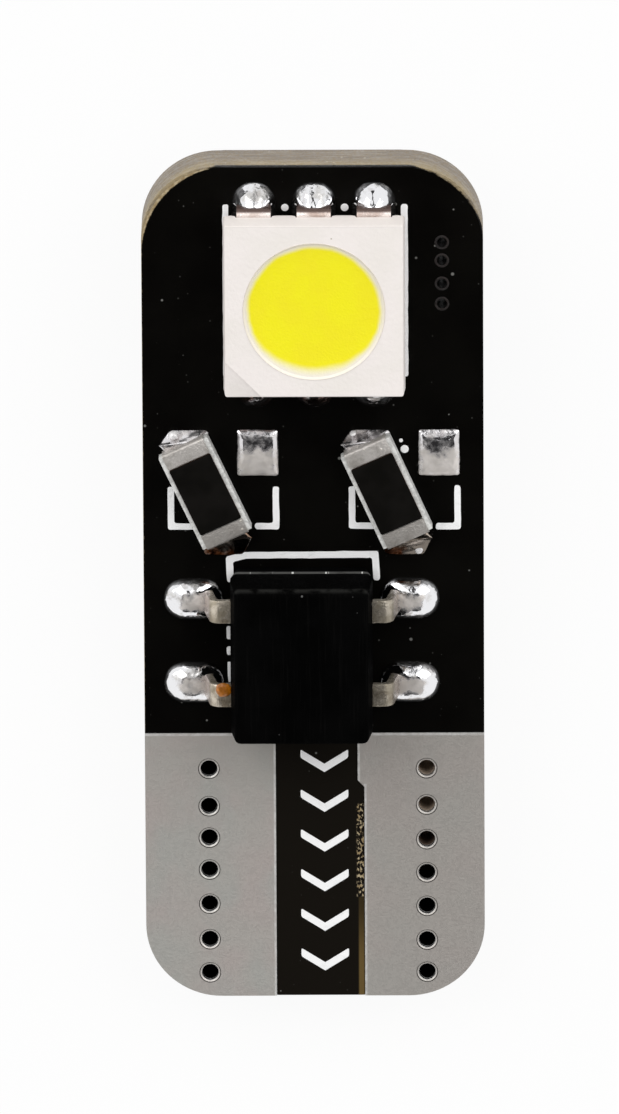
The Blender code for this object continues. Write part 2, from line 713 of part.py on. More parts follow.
def rectifier(face):
    """A moulded block on four gull-wing leads, each foot sunk in its solder."""
    seat = frame("rectifier_seat", face, (RECTIFIER_X, HALF_LENGTH - RECTIFIER_DROP, 0.0))
    body = moulded_block(
        "rectifier_body", RECTIFIER_WIDTH, RECTIFIER_LENGTH, RECTIFIER_BOTTOM, RECTIFIER_LEAD_LEVEL,
        RECTIFIER_TOP, RECTIFIER_DRAFT,
    )
    piece(body, seat, EPOXY_FINISH)
    round_edges(body, RECTIFIER_EDGE, 3)
    half_pitch = RECTIFIER_LEAD_PITCH / 2
    number = 1
    for turn in (math.radians(180), 0.0):
        for row in (half_pitch, -half_pitch):
            name = f"rectifier_lead_{number}"
            place = frame(name + "_seat", seat, (0.0, RECTIFIER_LEAD_SHIFT + row, 0.0), turn)
            path = rectifier_lead_path()
            piece(strip(name, path, RECTIFIER_LEAD_WIDTH, RECTIFIER_LEAD_THICKNESS), place, LEAD_FINISH)
            room = strip(
                name + "_room",
                stretched(path, SEAT_GAP),
                RECTIFIER_LEAD_WIDTH + 2 * SEAT_GAP,
                RECTIFIER_LEAD_THICKNESS + 2 * SEAT_GAP,
            )
            cut(body, helper(room, place))
            crown = (RECTIFIER_TOE - RECTIFIER_SOLDER_CROWN, 0.0)
            deposit = solder(f"rectifier_solder_{number}", rectifier_pad(), RECTIFIER_SOLDER_HEIGHT, crown)
            piece(deposit, place, SOLDER_FINISH)
            cut(deposit, room)
            open_mask(FRONT, name, place, rectifier_pad(SEAT_GAP))
            number += 1


# Resistors

def terminal_path(length, height, band):
    """The centre line of an end cap: over the top, down the end and under the bottom."""
    inset = TERMINAL_THICKNESS / 2
    corners = [
        (length / 2 - band, SOLDER_FILM + height - inset),
        (length / 2 - inset, SOLDER_FILM + height - inset),
        (length / 2 - inset, SOLDER_FILM + inset),
        (length / 2 - band, SOLDER_FILM + inset),
    ]
    return bent(corners, TERMINAL_THICKNESS)


def resistor_body(prefix, seat, length, width, height, band, glaze_margin):
    """The ceramic slab inside the end caps, and the glaze over its top between them."""
    film = TERMINAL_THICKNESS + SEAT_GAP
    ceramic_top = SOLDER_FILM + height - film
    ceramic_end = length / 2 - film
    ceramic = box(
        prefix + "_ceramic",
        (-ceramic_end, -width / 2, SOLDER_FILM + film),
        (ceramic_end, width / 2, ceramic_top),
    )
    piece(ceramic, seat, CERAMIC_FINISH)
    glaze_end = length / 2 - band - SEAT_GAP
    glaze_side = width / 2 - glaze_margin
    glaze = box(
        prefix + "_glaze",
        (-glaze_end, -glaze_side, ceramic_top + SEAT_GAP),
        (glaze_end, glaze_side, ceramic_top + SEAT_GAP + GLAZE_THICKNESS),
    )
    piece(glaze, seat, GLAZE_FINISH)
    round_edges(glaze, GLAZE_EDGE, 1)


def footprint_pad(margin=0.0):
    x = FOOTPRINT_PAD_WIDTH / 2 + margin
    y = FOOTPRINT_PAD_LENGTH / 2 + margin
    return rounded_rectangle((-x, -y), (x, y), FOOTPRINT_PAD_RADIUS + margin, PAD_CORNER_STEPS)


def within(value, limit):
    return max(-limit, min(limit, value))


def front_resistor(prefix, footprint_x, twist, face):
    """A resistor laid from its footprint's upper left pad to the lower one, and the third pad's solder."""
    upper_y = HALF_LENGTH - UPPER_PAD_DROP
    lower_y = HALF_LENGTH - LOWER_PAD_DROP
    upper = Vector((footprint_x - FOOTPRINT_PAD_SPREAD / 2, upper_y))
    lower = Vector((footprint_x, lower_y))
    spare = Vector((footprint_x + FOOTPRINT_PAD_SPREAD / 2, upper_y))
    middle = (upper + lower) / 2 + Vector(CHIP_SLIP)
    turn = math.atan2(upper.y - lower.y, upper.x - lower.x) + twist
    along = Vector((math.cos(turn), math.sin(turn)))
    seat = frame(prefix + "_seat", face, (*middle, 0.0), turn)
    resistor_body(prefix, seat, CHIP_LENGTH, CHIP_WIDTH, CHIP_HEIGHT, CHIP_BAND, CHIP_GLAZE_MARGIN)
    room = box(
        prefix + "_room",
        (-CHIP_LENGTH / 2 - SEAT_GAP, -CHIP_WIDTH / 2 - SEAT_GAP, SOLDER_FILM - SEAT_GAP),
        (CHIP_LENGTH / 2 + SEAT_GAP, CHIP_WIDTH / 2 + SEAT_GAP, SOLDER_FILM + CHIP_HEIGHT),
    )
    helper(room, seat)
    for end, centre, sign in (("upper", upper, 1), ("lower", lower, -1)):
        cap_seat = frame(f"{prefix}_{end}_seat", seat, turn=0.0 if sign > 0 else math.radians(180))
        cap = strip(
            f"{prefix}_{end}_terminal",
            terminal_path(CHIP_LENGTH, CHIP_HEIGHT, CHIP_BAND),
            CHIP_WIDTH - 2 * CHIP_GLAZE_MARGIN,
            TERMINAL_THICKNESS,
        )
        piece(cap, cap_seat, TERMINAL_FINISH)
        tip = middle + sign * along * CHIP_LENGTH / 2 - centre
        crown = (
            within(tip.x, FOOTPRINT_PAD_WIDTH / 2 - FOOTPRINT_PAD_RADIUS),
            within(tip.y, FOOTPRINT_PAD_LENGTH / 2 - FOOTPRINT_PAD_RADIUS),
        )
        pad_seat = frame(f"{prefix}_{end}_pad_seat", face, (*centre, 0.0))
        deposit = solder(
            f"{prefix}_{end}_solder", footprint_pad(), CHIP_SOLDER_HEIGHT, crown, CHIP_SOLDER_FULLNESS
        )
        piece(deposit, pad_seat, SOLDER_FINISH)
        cut(deposit, room)
        open_mask(FRONT, f"{prefix}_{end}", pad_seat, footprint_pad(SEAT_GAP))
    spare_seat = frame(prefix + "_spare_pad_seat", face, (*spare, 0.0))
    bare_name = prefix.replace("resistor", "bare_pad")
    bare = solder(
        bare_name, footprint_pad(), BARE_PAD_SOLDER_HEIGHT, (0.0, 0.0), ridge=BARE_PAD_SOLDER_RIDGE
    )
    piece(bare, spare_seat, SOLDER_FINISH)
    open_mask(FRONT, prefix + "_spare", spare_seat, footprint_pad(SEAT_GAP))


def load_pad(margin=0.0):
    inner = LOAD_LENGTH / 2 - LOAD_PAD_TUCK - margin
    outer = LOAD_LENGTH / 2 + LOAD_PAD_REACH + margin
    half = LOAD_WIDTH / 2 - LOAD_PAD_INSET + margin
    return rounded_rectangle((inner, -half), (outer, half), LOAD_PAD_RADIUS + margin, PAD_CORNER_STEPS)


def load_resistor(prefix, x, face):
    """A wide resistor on the back. Its end caps and their solder are one piece of metal each."""
    seat = frame(prefix + "_seat", face, (x, HALF_LENGTH - LOAD_DROP, 0.0), OUTWARD["upper"])
    resistor_body(prefix, seat, LOAD_LENGTH, LOAD_WIDTH, LOAD_HEIGHT, LOAD_BAND, LOAD_GLAZE_MARGIN)
    half_film = TERMINAL_THICKNESS / 2
    for end, turn in (("upper", 0.0), ("lower", math.radians(180))):
        cap_seat = frame(f"{prefix}_{end}_seat", seat, turn=turn)
        cap = strip(
            f"{prefix}_{end}_terminal",
            terminal_path(LOAD_LENGTH, LOAD_HEIGHT, LOAD_BAND),
            LOAD_WIDTH,
            TERMINAL_THICKNESS,
        )
        piece(cap, cap_seat, TERMINAL_FINISH)
        room = box(
            f"{prefix}_{end}_room",
            (0.0, -LOAD_WIDTH, SOLDER_FILM + half_film),
            (LOAD_LENGTH / 2 - half_film, LOAD_WIDTH, SOLDER_FILM + LOAD_HEIGHT),
        )
        deposit = solder(
            f"{prefix}_{end}_solder", load_pad(), LOAD_SOLDER_HEIGHT, (LOAD_LENGTH / 2, 0.0),
            LOAD_SOLDER_FULLNESS, LOAD_SOLDER_RIDGE,
        )
        cut(deposit, helper(room, cap_seat))
        join(cap, helper(deposit, cap_seat))
        open_mask(BACK, f"{prefix}_{end}", cap_seat, load_pad(SEAT_GAP))


# Assembly

def resting_frame():
    """The bulb's frame as it lies: on the end of its contacts and on the back piece that meets the floor."""
    heel_y = -HALF_LENGTH
    heel_depth = FACE_LEVEL + SEAT_GAP + CONTACT_THICKNESS
    led_y = HALF_LENGTH - LED_DROP - LED_LENGTH / 2 + LED_DRAFT + LED_EDGE
    load_y = HALF_LENGTH - LOAD_DROP - LOAD_LENGTH / 2
    props = [(led_y, FACE_LEVEL + LED_FACE), (load_y, FACE_LEVEL + SOLDER_FILM + LOAD_HEIGHT)]
    tilt = max(math.atan2(depth - heel_depth, y - heel_y) for y, depth in props)
    rest = frame("resting_bulb", None)
    rest.rotation_euler = (tilt, 0.0, 0.0)
    rest.location = (0.0, 0.0, heel_depth * math.cos(tilt) - heel_y * math.sin(tilt))
    return rest


def build():
    rest = resting_frame()
    front = frame("front_face", rest, (0.0, 0.0, FACE_LEVEL))
    back = frame("back_face", rest, (0.0, 0.0, -FACE_LEVEL))
    back.rotation_euler = (0.0, math.radians(180), 0.0)
    board_core(rest)
    contact("left_contact", -1, rest)
    contact("right_contact", 1, rest)
    led(FRONT, front)
    led(BACK, back)
    rectifier(front)
    for prefix, x, twist in zip(("left_resistor", "right_resistor"), FOOTPRINT_PLACES, CHIP_TWISTS):
        front_resistor(prefix, x, twist, front)
    for number, side in enumerate((-1, 1), start=1):
        load_resistor(f"load_resistor_{number}", side * LOAD_SPACING / 2, back)
    solder_mask(FRONT, rest)
    solder_mask(BACK, rest)


build()
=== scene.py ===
"""The finish of a wedge base LED bulb on a flat circuit board.

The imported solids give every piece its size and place. Pieces are modelled in millimetres in the frame of
the board's front or back face, with +Y towards the lamp end and +Z out of that face, and are then put
into the frame in which the bulb lies.
"""

import json
import math

import bmesh
import bpy
from mathutils import Matrix, Vector


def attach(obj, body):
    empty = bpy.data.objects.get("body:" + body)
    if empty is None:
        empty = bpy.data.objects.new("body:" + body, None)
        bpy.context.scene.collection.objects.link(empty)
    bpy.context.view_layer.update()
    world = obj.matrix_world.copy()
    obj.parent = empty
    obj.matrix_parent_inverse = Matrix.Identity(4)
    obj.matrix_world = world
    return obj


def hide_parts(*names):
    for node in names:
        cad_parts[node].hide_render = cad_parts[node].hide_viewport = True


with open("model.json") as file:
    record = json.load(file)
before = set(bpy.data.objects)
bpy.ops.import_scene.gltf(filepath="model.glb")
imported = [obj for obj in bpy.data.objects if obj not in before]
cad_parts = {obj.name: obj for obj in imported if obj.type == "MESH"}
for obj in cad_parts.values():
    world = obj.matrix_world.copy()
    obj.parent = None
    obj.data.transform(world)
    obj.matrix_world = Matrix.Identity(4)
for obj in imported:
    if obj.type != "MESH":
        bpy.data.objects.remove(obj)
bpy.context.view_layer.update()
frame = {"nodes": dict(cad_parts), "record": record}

MM = 0.001
SHARP = math.radians(40)
HAIR = 0.004

# Levels above either face of the board, in millimetres
MASK_TOP = 0.05
SEAT = 0.02
SOLDER_FILM = 0.08

# How far solder spreads over the mask, as a share of its pad, and how a slope of it steepens
HEAP_LAP = 1.06
SLOPE_LAP = 1.03
SLOPE_CLIMB = 1.15

# The photograph's height, and how its camera stood over the front face
PHOTO_HEIGHT = 1114
SENSOR = 36.0
FOCAL_PIXELS = 20272
CAMERA_DISTANCE = 560.0
CAMERA_LEAN = math.radians(17.5)
CAMERA_YAW = math.radians(-0.44)
CAMERA_ROLL = math.radians(0.3)
CAMERA_SHIFT = (0.118, -0.723)

# Contacts
VIA_BORE = 0.44
VIA_WALL = 0.04
VIA_ROUND = 0.08
VIA_LEFT = (-2.93, (-5.36, -6.45, -7.37, -8.30, -9.30, -10.34, -11.31))
VIA_RIGHT = (3.10, (-5.36, -6.42, -7.43, -8.40, -9.38, -10.37, -11.31))
CONTACT_SHEET = 0.06
STRIP_LEFT = -1.08
STRIP_RIGHT = 1.375
STRIP_NECK = 1.19
NECK_END = -5.70
NECK_SLOPE = 0.20

# Board, and the small link holes beside the lamp
BOARD_CORNER = 2.1
FILM_CORNER = 2.56
LINK_X = 3.565
LINK_ROWS = (9.83, 9.31, 8.65, 8.07)
LINK_HOLE = 0.26
LINK_RING = 0.40

# Lamp
LAMP_DRAFT = 0.05
LAMP_UNDERCUT = 0.16
LAMP_PARTING = 0.88
LAMP_RECESS = 0.27
LAMP_RECESS_SPLAY = 1.28
CORNER_MARK = 0.50
CORNER_MARK_DEPTH = 0.04
CUP_DIAMETER = 3.90
CUP_DEPTH = 0.95
CUP_SLOPE = 0.40
CUP_LIP = 0.05
GEL_GAP = 0.002
GEL_LEDGE = 0.025
GEL_MENISCUS = 0.046
LAMP_LEAD_SHEET = 0.15
LAMP_LEAD_WIDTH = 0.94
LAMP_LEAD_ROOT = 0.36
LAMP_LEAD_TAIL = 0.55
LAMP_PAD_REACH = 0.53
LAMP_PAD_OVERHANG = 0.11
LAMP_DOME = 0.70

# Rectifier
RECTIFIER_DRAFT = 0.13
RECTIFIER_EDGE = 0.16
RECTIFIER_PARTING = 1.23
RECTIFIER_FLASH = 0.95
RECTIFIER_SHEEN_LEVEL = 2.32
RECTIFIER_LEAD_SHEET = 0.22
RECTIFIER_LEAD_WIDTH = 0.65
RECTIFIER_LEAD_ROOT = 0.12
RECTIFIER_SHOULDER = 0.45
RECTIFIER_HEEL = 0.63
RECTIFIER_TOE = 1.35
RECTIFIER_MOUND = 0.46

# Resistors: length, width and height, then the band, the glaze's margin and half the width of an end cap
CHIP_RESISTOR = ((3.0, 1.49, 0.55), 0.45, 0.12, 0.625)
LOAD_RESISTOR = ((6.3, 3.2, 0.6), 0.55, 0.10, 1.6)
CAP_FILM = 0.05
CHIP_FILLET = 0.32
CHIP_PAD_LENGTH = 1.1
BARE_PAD_PILLOW = 0.17
LOAD_PAD = ((3.05, -1.5), (3.5, 1.5))
LOAD_FILLET = 0.45

# Printed lines
INK_LEVEL = MASK_TOP + 0.001
INK_THICKNESS = 0.012
INK_WIDTH = 0.178
INK_STEP = 0.22
ARROW_PITCH = 1.16


# Placing

def wedge_frame():
    """The board's frame: its middle plane, with the origin at the middle of the wedge end."""
    mount = next(m for m in frame["record"]["mounts"] if m["name"] == "wedge_end")
    axis = Vector(mount["axis"])
    tilt = math.atan2(-axis.z, -axis.y)
    return Matrix.Translation(Vector(mount["pos_m"])) @ Matrix.Rotation(tilt, 4, "X")


def extent(points):
    """The lowest and highest corner of some points."""
    return Vector(map(min, zip(*points))), Vector(map(max, zip(*points)))


def span(node, place):
    """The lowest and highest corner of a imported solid, in a frame that is in millimetres."""
    back = place.inverted()
    return extent([back @ vert.co for vert in frame["nodes"][node].data.vertices])


def middle(node, place):
    low, high = span(node, place)
    return (low + high) / 2


def stand(x, y, turn=0.0):
    """A place on a face of the board, turned about its upright."""
    return Matrix.Translation((x, y, 0.0)) @ Matrix.Rotation(turn, 4, "Z")


WEDGE = wedge_frame() @ Matrix.Scale(MM, 4)
BOARD_HIGH = span("board_core", WEDGE)[1]
HALF_WIDTH = BOARD_HIGH.x
HALF_LENGTH = BOARD_HIGH.y / 2
FACE = BOARD_HIGH.z
BOARD = WEDGE @ Matrix.Translation((0.0, HALF_LENGTH, 0.0))
FRONT = BOARD @ Matrix.Translation((0.0, 0.0, FACE))
BACK = BOARD @ Matrix.Rotation(math.pi, 4, "Y") @ Matrix.Translation((0.0, 0.0, FACE))
CONTACT_TOP = span("left_contact", BOARD)[1].y
LAMP = middle("front_led_housing", FRONT)


# Shader building

def shade(colour):
    """A colour in display values from 0 to 255, as linear light. Linear light and sockets pass through."""
    if isinstance(colour, bpy.types.NodeSocket) or len(colour) == 4:
        return colour
    values = [value / 255 for value in colour]
    linear = [v / 12.92 if v <= 0.04045 else ((v + 0.055) / 1.055) ** 2.4 for v in values]
    return (*linear, 1.0)


def feed(tree, socket, value):
    if isinstance(value, bpy.types.NodeSocket):
        tree.links.new(value, socket)
    else:
        socket.default_value = value


def add(tree, kind, settings=(), **inputs):
    """A shader node with its settings and inputs. An input is a value or another node's output."""
    made = tree.nodes.new("ShaderNode" + kind)
    for key, value in dict(settings).items():
        setattr(made, key, value)
    for key, value in inputs.items():
        feed(tree, made.inputs[key.replace("_", " ")], value)
    return made


def maths(tree, operation, *values, kind="Math"):
    made = add(tree, kind, {"operation": operation})
    for socket, value in zip(made.inputs, values):
        feed(tree, socket, value)
    return made.outputs["Value" if operation == "LENGTH" else 0]


def vector_maths(tree, operation, *values):
    return maths(tree, operation, *values, kind="VectorMath")


def blend(tree, factor, below, above):
    """One colour over another."""
    made = add(tree, "Mix", {"data_type": "RGBA"})
    feed(tree, made.inputs[0], factor)
    feed(tree, made.inputs[6], shade(below))
    feed(tree, made.inputs[7], shade(above))
    return made.outputs[2]


def ramp(tree, value, start, end, low=0.0, high=1.0):
    """A value carried from one range to another, with soft ends."""
    made = add(tree, "MapRange", {"interpolation_type": "SMOOTHSTEP"}, Value=value)
    for key, limit in (("From Min", start), ("From Max", end), ("To Min", low), ("To Max", high)):
        feed(tree, made.inputs[key], limit)
    return made.outputs[0]


def new_group(name, inputs, output, kind="Float"):
    """An empty node group with named sockets. Inputs are given as (name, kind, value)."""
    tree = bpy.data.node_groups.new(name, "ShaderNodeTree")
    for label, socket_kind, value in inputs:
        socket = tree.interface.new_socket(label, in_out="INPUT", socket_type="NodeSocket" + socket_kind)
        if value is not None:
            socket.default_value = value
    tree.interface.new_socket(output, in_out="OUTPUT", socket_type="NodeSocket" + kind)
    return tree, tree.nodes.new("NodeGroupInput").outputs, tree.nodes.new("NodeGroupOutput").inputs[0]


def use(tree, group, **inputs):
    made = tree.nodes.new("ShaderNodeGroup")
    made.node_tree = group
    for key, value in inputs.items():
        feed(tree, made.inputs[key.replace("_", " ")], value)
    return made.outputs[0]


def board_millimetres():
    """Object coordinates turned into millimetres from the middle of the board."""
    tree, given, result = new_group("board millimetres", [("Object", "Vector", None)], "Board", "Vector")
    place, turn, _ = BOARD.decompose()
    mapping = add(
        tree, "Mapping", {"vector_type": "TEXTURE"}, Vector=given["Object"], Location=place,
        Rotation=turn.to_euler(), Scale=(MM, MM, MM),
    )
    feed(tree, result, mapping.outputs[0])
    return tree


def mottle():
    """Cloudy patches, from 0 to 1. Stretch draws them out along each axis."""
    tree, given, result = new_group(
        "mottle",
        [
            ("Vector", "Vector", None), ("Stretch", "Vector", (1.0, 1.0, 1.0)), ("Scale", "Float", 1.0),
            ("Detail", "Float", 3.0), ("Low", "Float", 0.35), ("High", "Float", 0.65),
        ],
        "Value",
    )
    drawn = vector_maths(tree, "MULTIPLY", given["Vector"], given["Stretch"])
    noise = add(tree, "TexNoise", Vector=drawn, Scale=given["Scale"], Detail=given["Detail"]).outputs[0]
    feed(tree, result, ramp(tree, noise, given["Low"], given["High"]))
    return tree


def specks():
    """Small round specks, scattered at random. Share is how many of the cells hold one."""
    tree, given, result = new_group(
        "specks",
        [
            ("Vector", "Vector", None), ("Scale", "Float", 2.0), ("Share", "Float", 0.4),
            ("Size", "Float", 0.08),
        ],
        "Mask",
    )
    cells = add(tree, "TexVoronoi", Vector=given["Vector"], Scale=given["Scale"])
    chance = add(tree, "SeparateColor", Color=cells.outputs["Color"])
    held = maths(tree, "LESS_THAN", chance.outputs[0], given["Share"])
    size = maths(tree, "MULTIPLY", given["Size"], maths(tree, "ADD", chance.outputs[1], 0.35))
    dot = ramp(tree, cells.outputs["Distance"], maths(tree, "MULTIPLY", size, 0.5), size, 1.0, 0.0)
    feed(tree, result, maths(tree, "MULTIPLY", dot, held))
    return tree


def film_edge():
    """The distance in from the edge of a film with round corners, with a ragged border."""
    tree, given, result = new_group(
        "film edge",
        [
            ("Vector", "Vector", None), ("Half", "Vector", (1.0, 1.0, 0.0)), ("Corner", "Float", 1.0),
            ("Ragged", "Float", 0.1),
        ],
        "Distance",
    )
    parts = add(tree, "SeparateXYZ", Vector=given["Vector"])
    halves = add(tree, "SeparateXYZ", Vector=given["Half"])
    outside = []
    for axis in (0, 1):
        reach = maths(tree, "SUBTRACT", halves.outputs[axis], given["Corner"])
        past = maths(tree, "SUBTRACT", maths(tree, "ABSOLUTE", parts.outputs[axis]), reach)
        outside.append(maths(tree, "POWER", maths(tree, "MAXIMUM", past, 0.0), 2.0))
    length = maths(tree, "SQRT", maths(tree, "ADD", *outside))
    inside = maths(tree, "SUBTRACT", given["Corner"], length)
    rough = add(tree, "TexNoise", Vector=given["Vector"], Scale=7.0, Detail=5.0, Roughness=0.7).outputs[0]
    wander = maths(tree, "MULTIPLY", maths(tree, "SUBTRACT", rough, 0.5), given["Ragged"])
    feed(tree, result, maths(tree, "ADD", inside, wander))
    return tree


def window():
    """1 inside an upright rectangle on the board and 0 outside it, with soft edges."""
    tree, given, result = new_group(
        "window",
        [
            ("Vector", "Vector", None), ("Middle", "Vector", None), ("Half", "Vector", None),
            ("Soft", "Float", 0.05),
        ],
        "Mask",
    )
    offset = vector_maths(tree, "SUBTRACT", given["Vector"], given["Middle"])
    parts = add(tree, "SeparateXYZ", Vector=offset)
    halves = add(tree, "SeparateXYZ", Vector=given["Half"])
    sides = []
    for axis in (0, 1):
        room = maths(tree, "SUBTRACT", halves.outputs[axis], maths(tree, "ABSOLUTE", parts.outputs[axis]))
        sides.append(ramp(tree, room, 0.0, given["Soft"]))
    feed(tree, result, maths(tree, "MULTIPLY", *sides))
    return tree


BOARD_MM = board_millimetres()
MOTTLE = mottle()
SPECKS = specks()
FILM_EDGE = film_edge()
WINDOW = window()


class Finish:
    """A material under construction, which knows its position in board millimetres.

    Its colours are display values from 0 to 255, or a node's output.
    """

    def __init__(self, name, colour, **constants):
        self.material = bpy.data.materials.new(name)
        self.material.use_nodes = True
        self.tree = self.material.node_tree
        self.shader = self.tree.nodes["Principled BSDF"]
        self.colour = colour
        place = add(self.tree, "TexCoord").outputs["Object"]
        self.at = use(self.tree, BOARD_MM, Object=place)
        self.set(**constants)

    def set(self, **inputs):
        for key, value in inputs.items():
            feed(self.tree, self.shader.inputs[key.replace("_", " ")], value)

    def mottle(self, scale, detail=3.0, low=0.35, high=0.65, stretch=(1.0, 1.0, 1.0)):
        return use(
            self.tree, MOTTLE, Vector=self.at, Stretch=stretch, Scale=scale, Detail=detail, Low=low, High=high
        )

    def specks(self, scale, share, size):
        return use(self.tree, SPECKS, Vector=self.at, Scale=scale, Share=share, Size=size)

    def window(self, centre, half, soft=0.05):
        return use(
            self.tree, WINDOW, Vector=self.at, Middle=(*centre, 0.0), Half=(*half, 0.0), Soft=soft
        )

    def axis(self, number):
        return add(self.tree, "SeparateXYZ", Vector=self.at).outputs[number]

    def off(self, number, level):
        """How far a point lies from a level along one axis, to either side."""
        return self.maths("ABSOLUTE", self.maths("SUBTRACT", self.axis(number), level))

    def maths(self, operation, *values):
        return maths(self.tree, operation, *values)

    def times(self, *values):
        return maths(self.tree, "MULTIPLY", *values)

    def vector(self, operation, *values):
        return vector_maths(self.tree, operation, *values)

    def blend(self, factor, below, above):
        return blend(self.tree, factor, below, above)

    def ramp(self, value, start, end, low=0.0, high=1.0):
        return ramp(self.tree, value, start, end, low, high)

    def paint(self, mask, colour, share=None):
        """Lays a colour over the finish where a mask is 1."""
        if share is not None:
            mask = self.times(mask, share)
        self.colour = self.blend(mask, self.colour, colour)

    def bump(self, height, depth):
        """Relief of a depth in millimetres."""
        made = add(self.tree, "Bump", Height=height, Distance=depth * MM, Strength=1.0)
        self.set(Normal=made.outputs[0])

    def done(self, **inputs):
        self.set(Base_Color=self.colour, **inputs)
        return self.material


# Finishes

def film_reach(finish):
    """How far a point lies in from the edge of the solder mask, in millimetres."""
    return use(
        finish.tree, FILM_EDGE, Vector=finish.vector("SUBTRACT", finish.at, (0.05, 0.0, 0.0)),
        Half=(HALF_WIDTH + 0.05, HALF_LENGTH + 0.06, 0.0), Corner=FILM_CORNER, Ragged=0.08,
    )


def glass_epoxy():
    """Sawn glass epoxy in layers, with a painted glow towards its top face and the mask's film run over its
    upper edge.
    """
    finish = Finish("sawn_glass_epoxy", (126, 117, 106), Specular_IOR_Level=0.35)
    layers = finish.mottle(1.0, 4.0, 0.36, 0.62, (1.2, 1.2, 14.0))
    fibres = finish.mottle(9.0, 3.0, 0.4, 0.7)
    finish.paint(layers, (150, 141, 129))
    finish.paint(fibres, (158, 140, 112), 0.4)
    finish.paint(finish.specks(5.0, 0.4, 0.16), (196, 186, 168))
    # Painted glow: the sawn wall is lighter and yellower towards the top face, standing in for light
    # scattered into the epoxy.
    scattered_glow = finish.ramp(finish.axis(2), -0.1, 0.8, 0.0, 0.75)
    finish.paint(scattered_glow, (172, 154, 116), finish.mottle(1.6, 3.0, 0.2, 0.6))
    finish.paint(finish.window((LINK_X, 8.95), (0.3, 1.3), 0.02), (10, 8, 7))
    top = finish.ramp(finish.axis(2), FACE - 0.17, FACE - 0.12)
    finish.paint(finish.ramp(film_reach(finish), -0.01, 0.02), (9, 8, 7), top)
    finish.bump(finish.maths("ADD", layers, fibres), 0.02)
    return finish.done(Roughness=finish.ramp(fibres, 0.0, 1.0, 0.5, 0.75))


def solder_mask():
    """Black mask with dust on it, worn off at its corners and nibbled beside the right contact."""
    finish = Finish("black_solder_mask", (6, 5, 4), Specular_IOR_Level=0.06)
    worn = finish.ramp(film_reach(finish), -0.01, 0.02, 1.0, 0.0)
    rough = finish.mottle(13.0, 5.0, 0.51, 0.56, (1.3, 0.8, 1.0))
    nibbled = finish.window((1.29, -7.75), (0.16, 1.38), 0.06)
    bare = finish.maths("MAXIMUM", worn, finish.times(nibbled, rough))
    slit = finish.window((1.30, -10.6), (0.12, 1.5), 0.05)
    finish.paint(finish.mottle(0.5, 2.0, 0.3, 0.7), (11, 10, 8))
    finish.paint(finish.window((0.15, -8.2), (1.4, 3.9), 0.1), (23, 20, 16))
    finish.paint(finish.specks(4.6, 0.3, 0.11), (92, 92, 88), 0.35)
    finish.paint(finish.specks(1.9, 0.5, 0.085), (150, 150, 146), 0.55)
    finish.paint(slit, (112, 92, 54), finish.ramp(finish.axis(1), -11.2, -9.2, 0.8, 0.2))
    finish.paint(bare, finish.blend(finish.mottle(8.0), (150, 130, 96), (186, 170, 138)))
    relief = finish.mottle(1.4, 2.0, 0.3, 0.7)
    finish.bump(finish.maths("SUBTRACT", relief, finish.times(bare, 3.0)), 0.006)
    return finish.done(Roughness=finish.ramp(bare, 0.0, 1.0, 0.3, 0.62))


def printed_ink():
    finish = Finish("white_legend_ink", (255, 255, 255), Specular_IOR_Level=0.3)
    thin = finish.mottle(5.0, 4.0, 0.52, 0.74)
    finish.paint(thin, (224, 228, 226), 0.2)
    finish.paint(finish.specks(7.0, 0.08, 0.12), (130, 130, 126))
    finish.bump(thin, 0.008)
    return finish.done(Roughness=0.6)


def levelled_tin():
    """Dull levelled tin with painted highlights along its borders, shiny hole rims, and painted shade in its
    bores, lighter in a few.
    """
    finish = Finish("levelled_tin", (195, 191, 185), Specular_IOR_Level=0.0)
    grain = finish.mottle(14.0, 4.0, 0.3, 0.7)
    finish.paint(finish.mottle(0.45, 2.0, 0.38, 0.62), (198, 189, 184))
    finish.paint(finish.mottle(0.8, 3.0, 0.42, 0.66, (1.0, 0.6, 1.0)), (190, 193, 188), 0.4)
    finish.paint(grain, (168, 164, 158), 0.12)
    finish.paint(finish.specks(1.3, 0.3, 0.06), (240, 240, 238))
    finish.paint(finish.ramp(finish.axis(0), 0.0, 2.0, 0.0, 0.6), (180, 175, 169))
    # Painted highlights along the top edge and along the edges beside the strip and its neck.
    border = finish.ramp(finish.axis(1), CONTACT_TOP - 0.09, CONTACT_TOP - 0.05)
    for x, y, half in (
        (STRIP_LEFT - 0.02, -8.2, 3.9), (STRIP_RIGHT + 0.02, -9.0, 3.2), (STRIP_NECK + 0.02, -5.0, 0.75),
    ):
        border = finish.maths("MAXIMUM", border, finish.window((x, y), (0.05, half), 0.02))
    uneven = finish.times(finish.mottle(6.0, 3.0, 0.2, 0.8), 0.48)
    finish.paint(border, (250, 250, 248), finish.maths("SUBTRACT", 0.7, uneven))
    height = finish.maths("ABSOLUTE", finish.axis(2))
    top = FACE + SEAT + CONTACT_SHEET
    rim = finish.ramp(height, top - 0.05, top - 0.012, 1.0, 0.0)
    # Painted shade in the bores: near black, lighter in the two upper holes on the right and dim in the
    # third.
    bore = finish.ramp(height, top - 0.16, top - 0.10, 1.0, 0.0)
    finish.paint(rim, (244, 244, 244), 0.8)
    lit_bores = finish.window((VIA_RIGHT[0], -5.9), (0.5, 1.0), 0.02)
    dim_bore = finish.window((VIA_RIGHT[0], -7.4), (0.5, 0.4), 0.02)
    inside = finish.blend(lit_bores, (7, 6, 5), (158, 143, 128))
    finish.paint(bore, finish.blend(dim_bore, inside, (92, 78, 68)))
    metal = finish.maths("ADD", 0.5, finish.times(rim, 0.45))
    rough = finish.ramp(grain, 0.0, 1.0, 0.42, 0.52)
    finish.bump(grain, 0.003)
    return finish.done(
        Metallic=finish.times(metal, finish.maths("SUBTRACT", 1.0, bore)),
        Roughness=finish.maths("SUBTRACT", rough, finish.times(rim, 0.28)),
    )


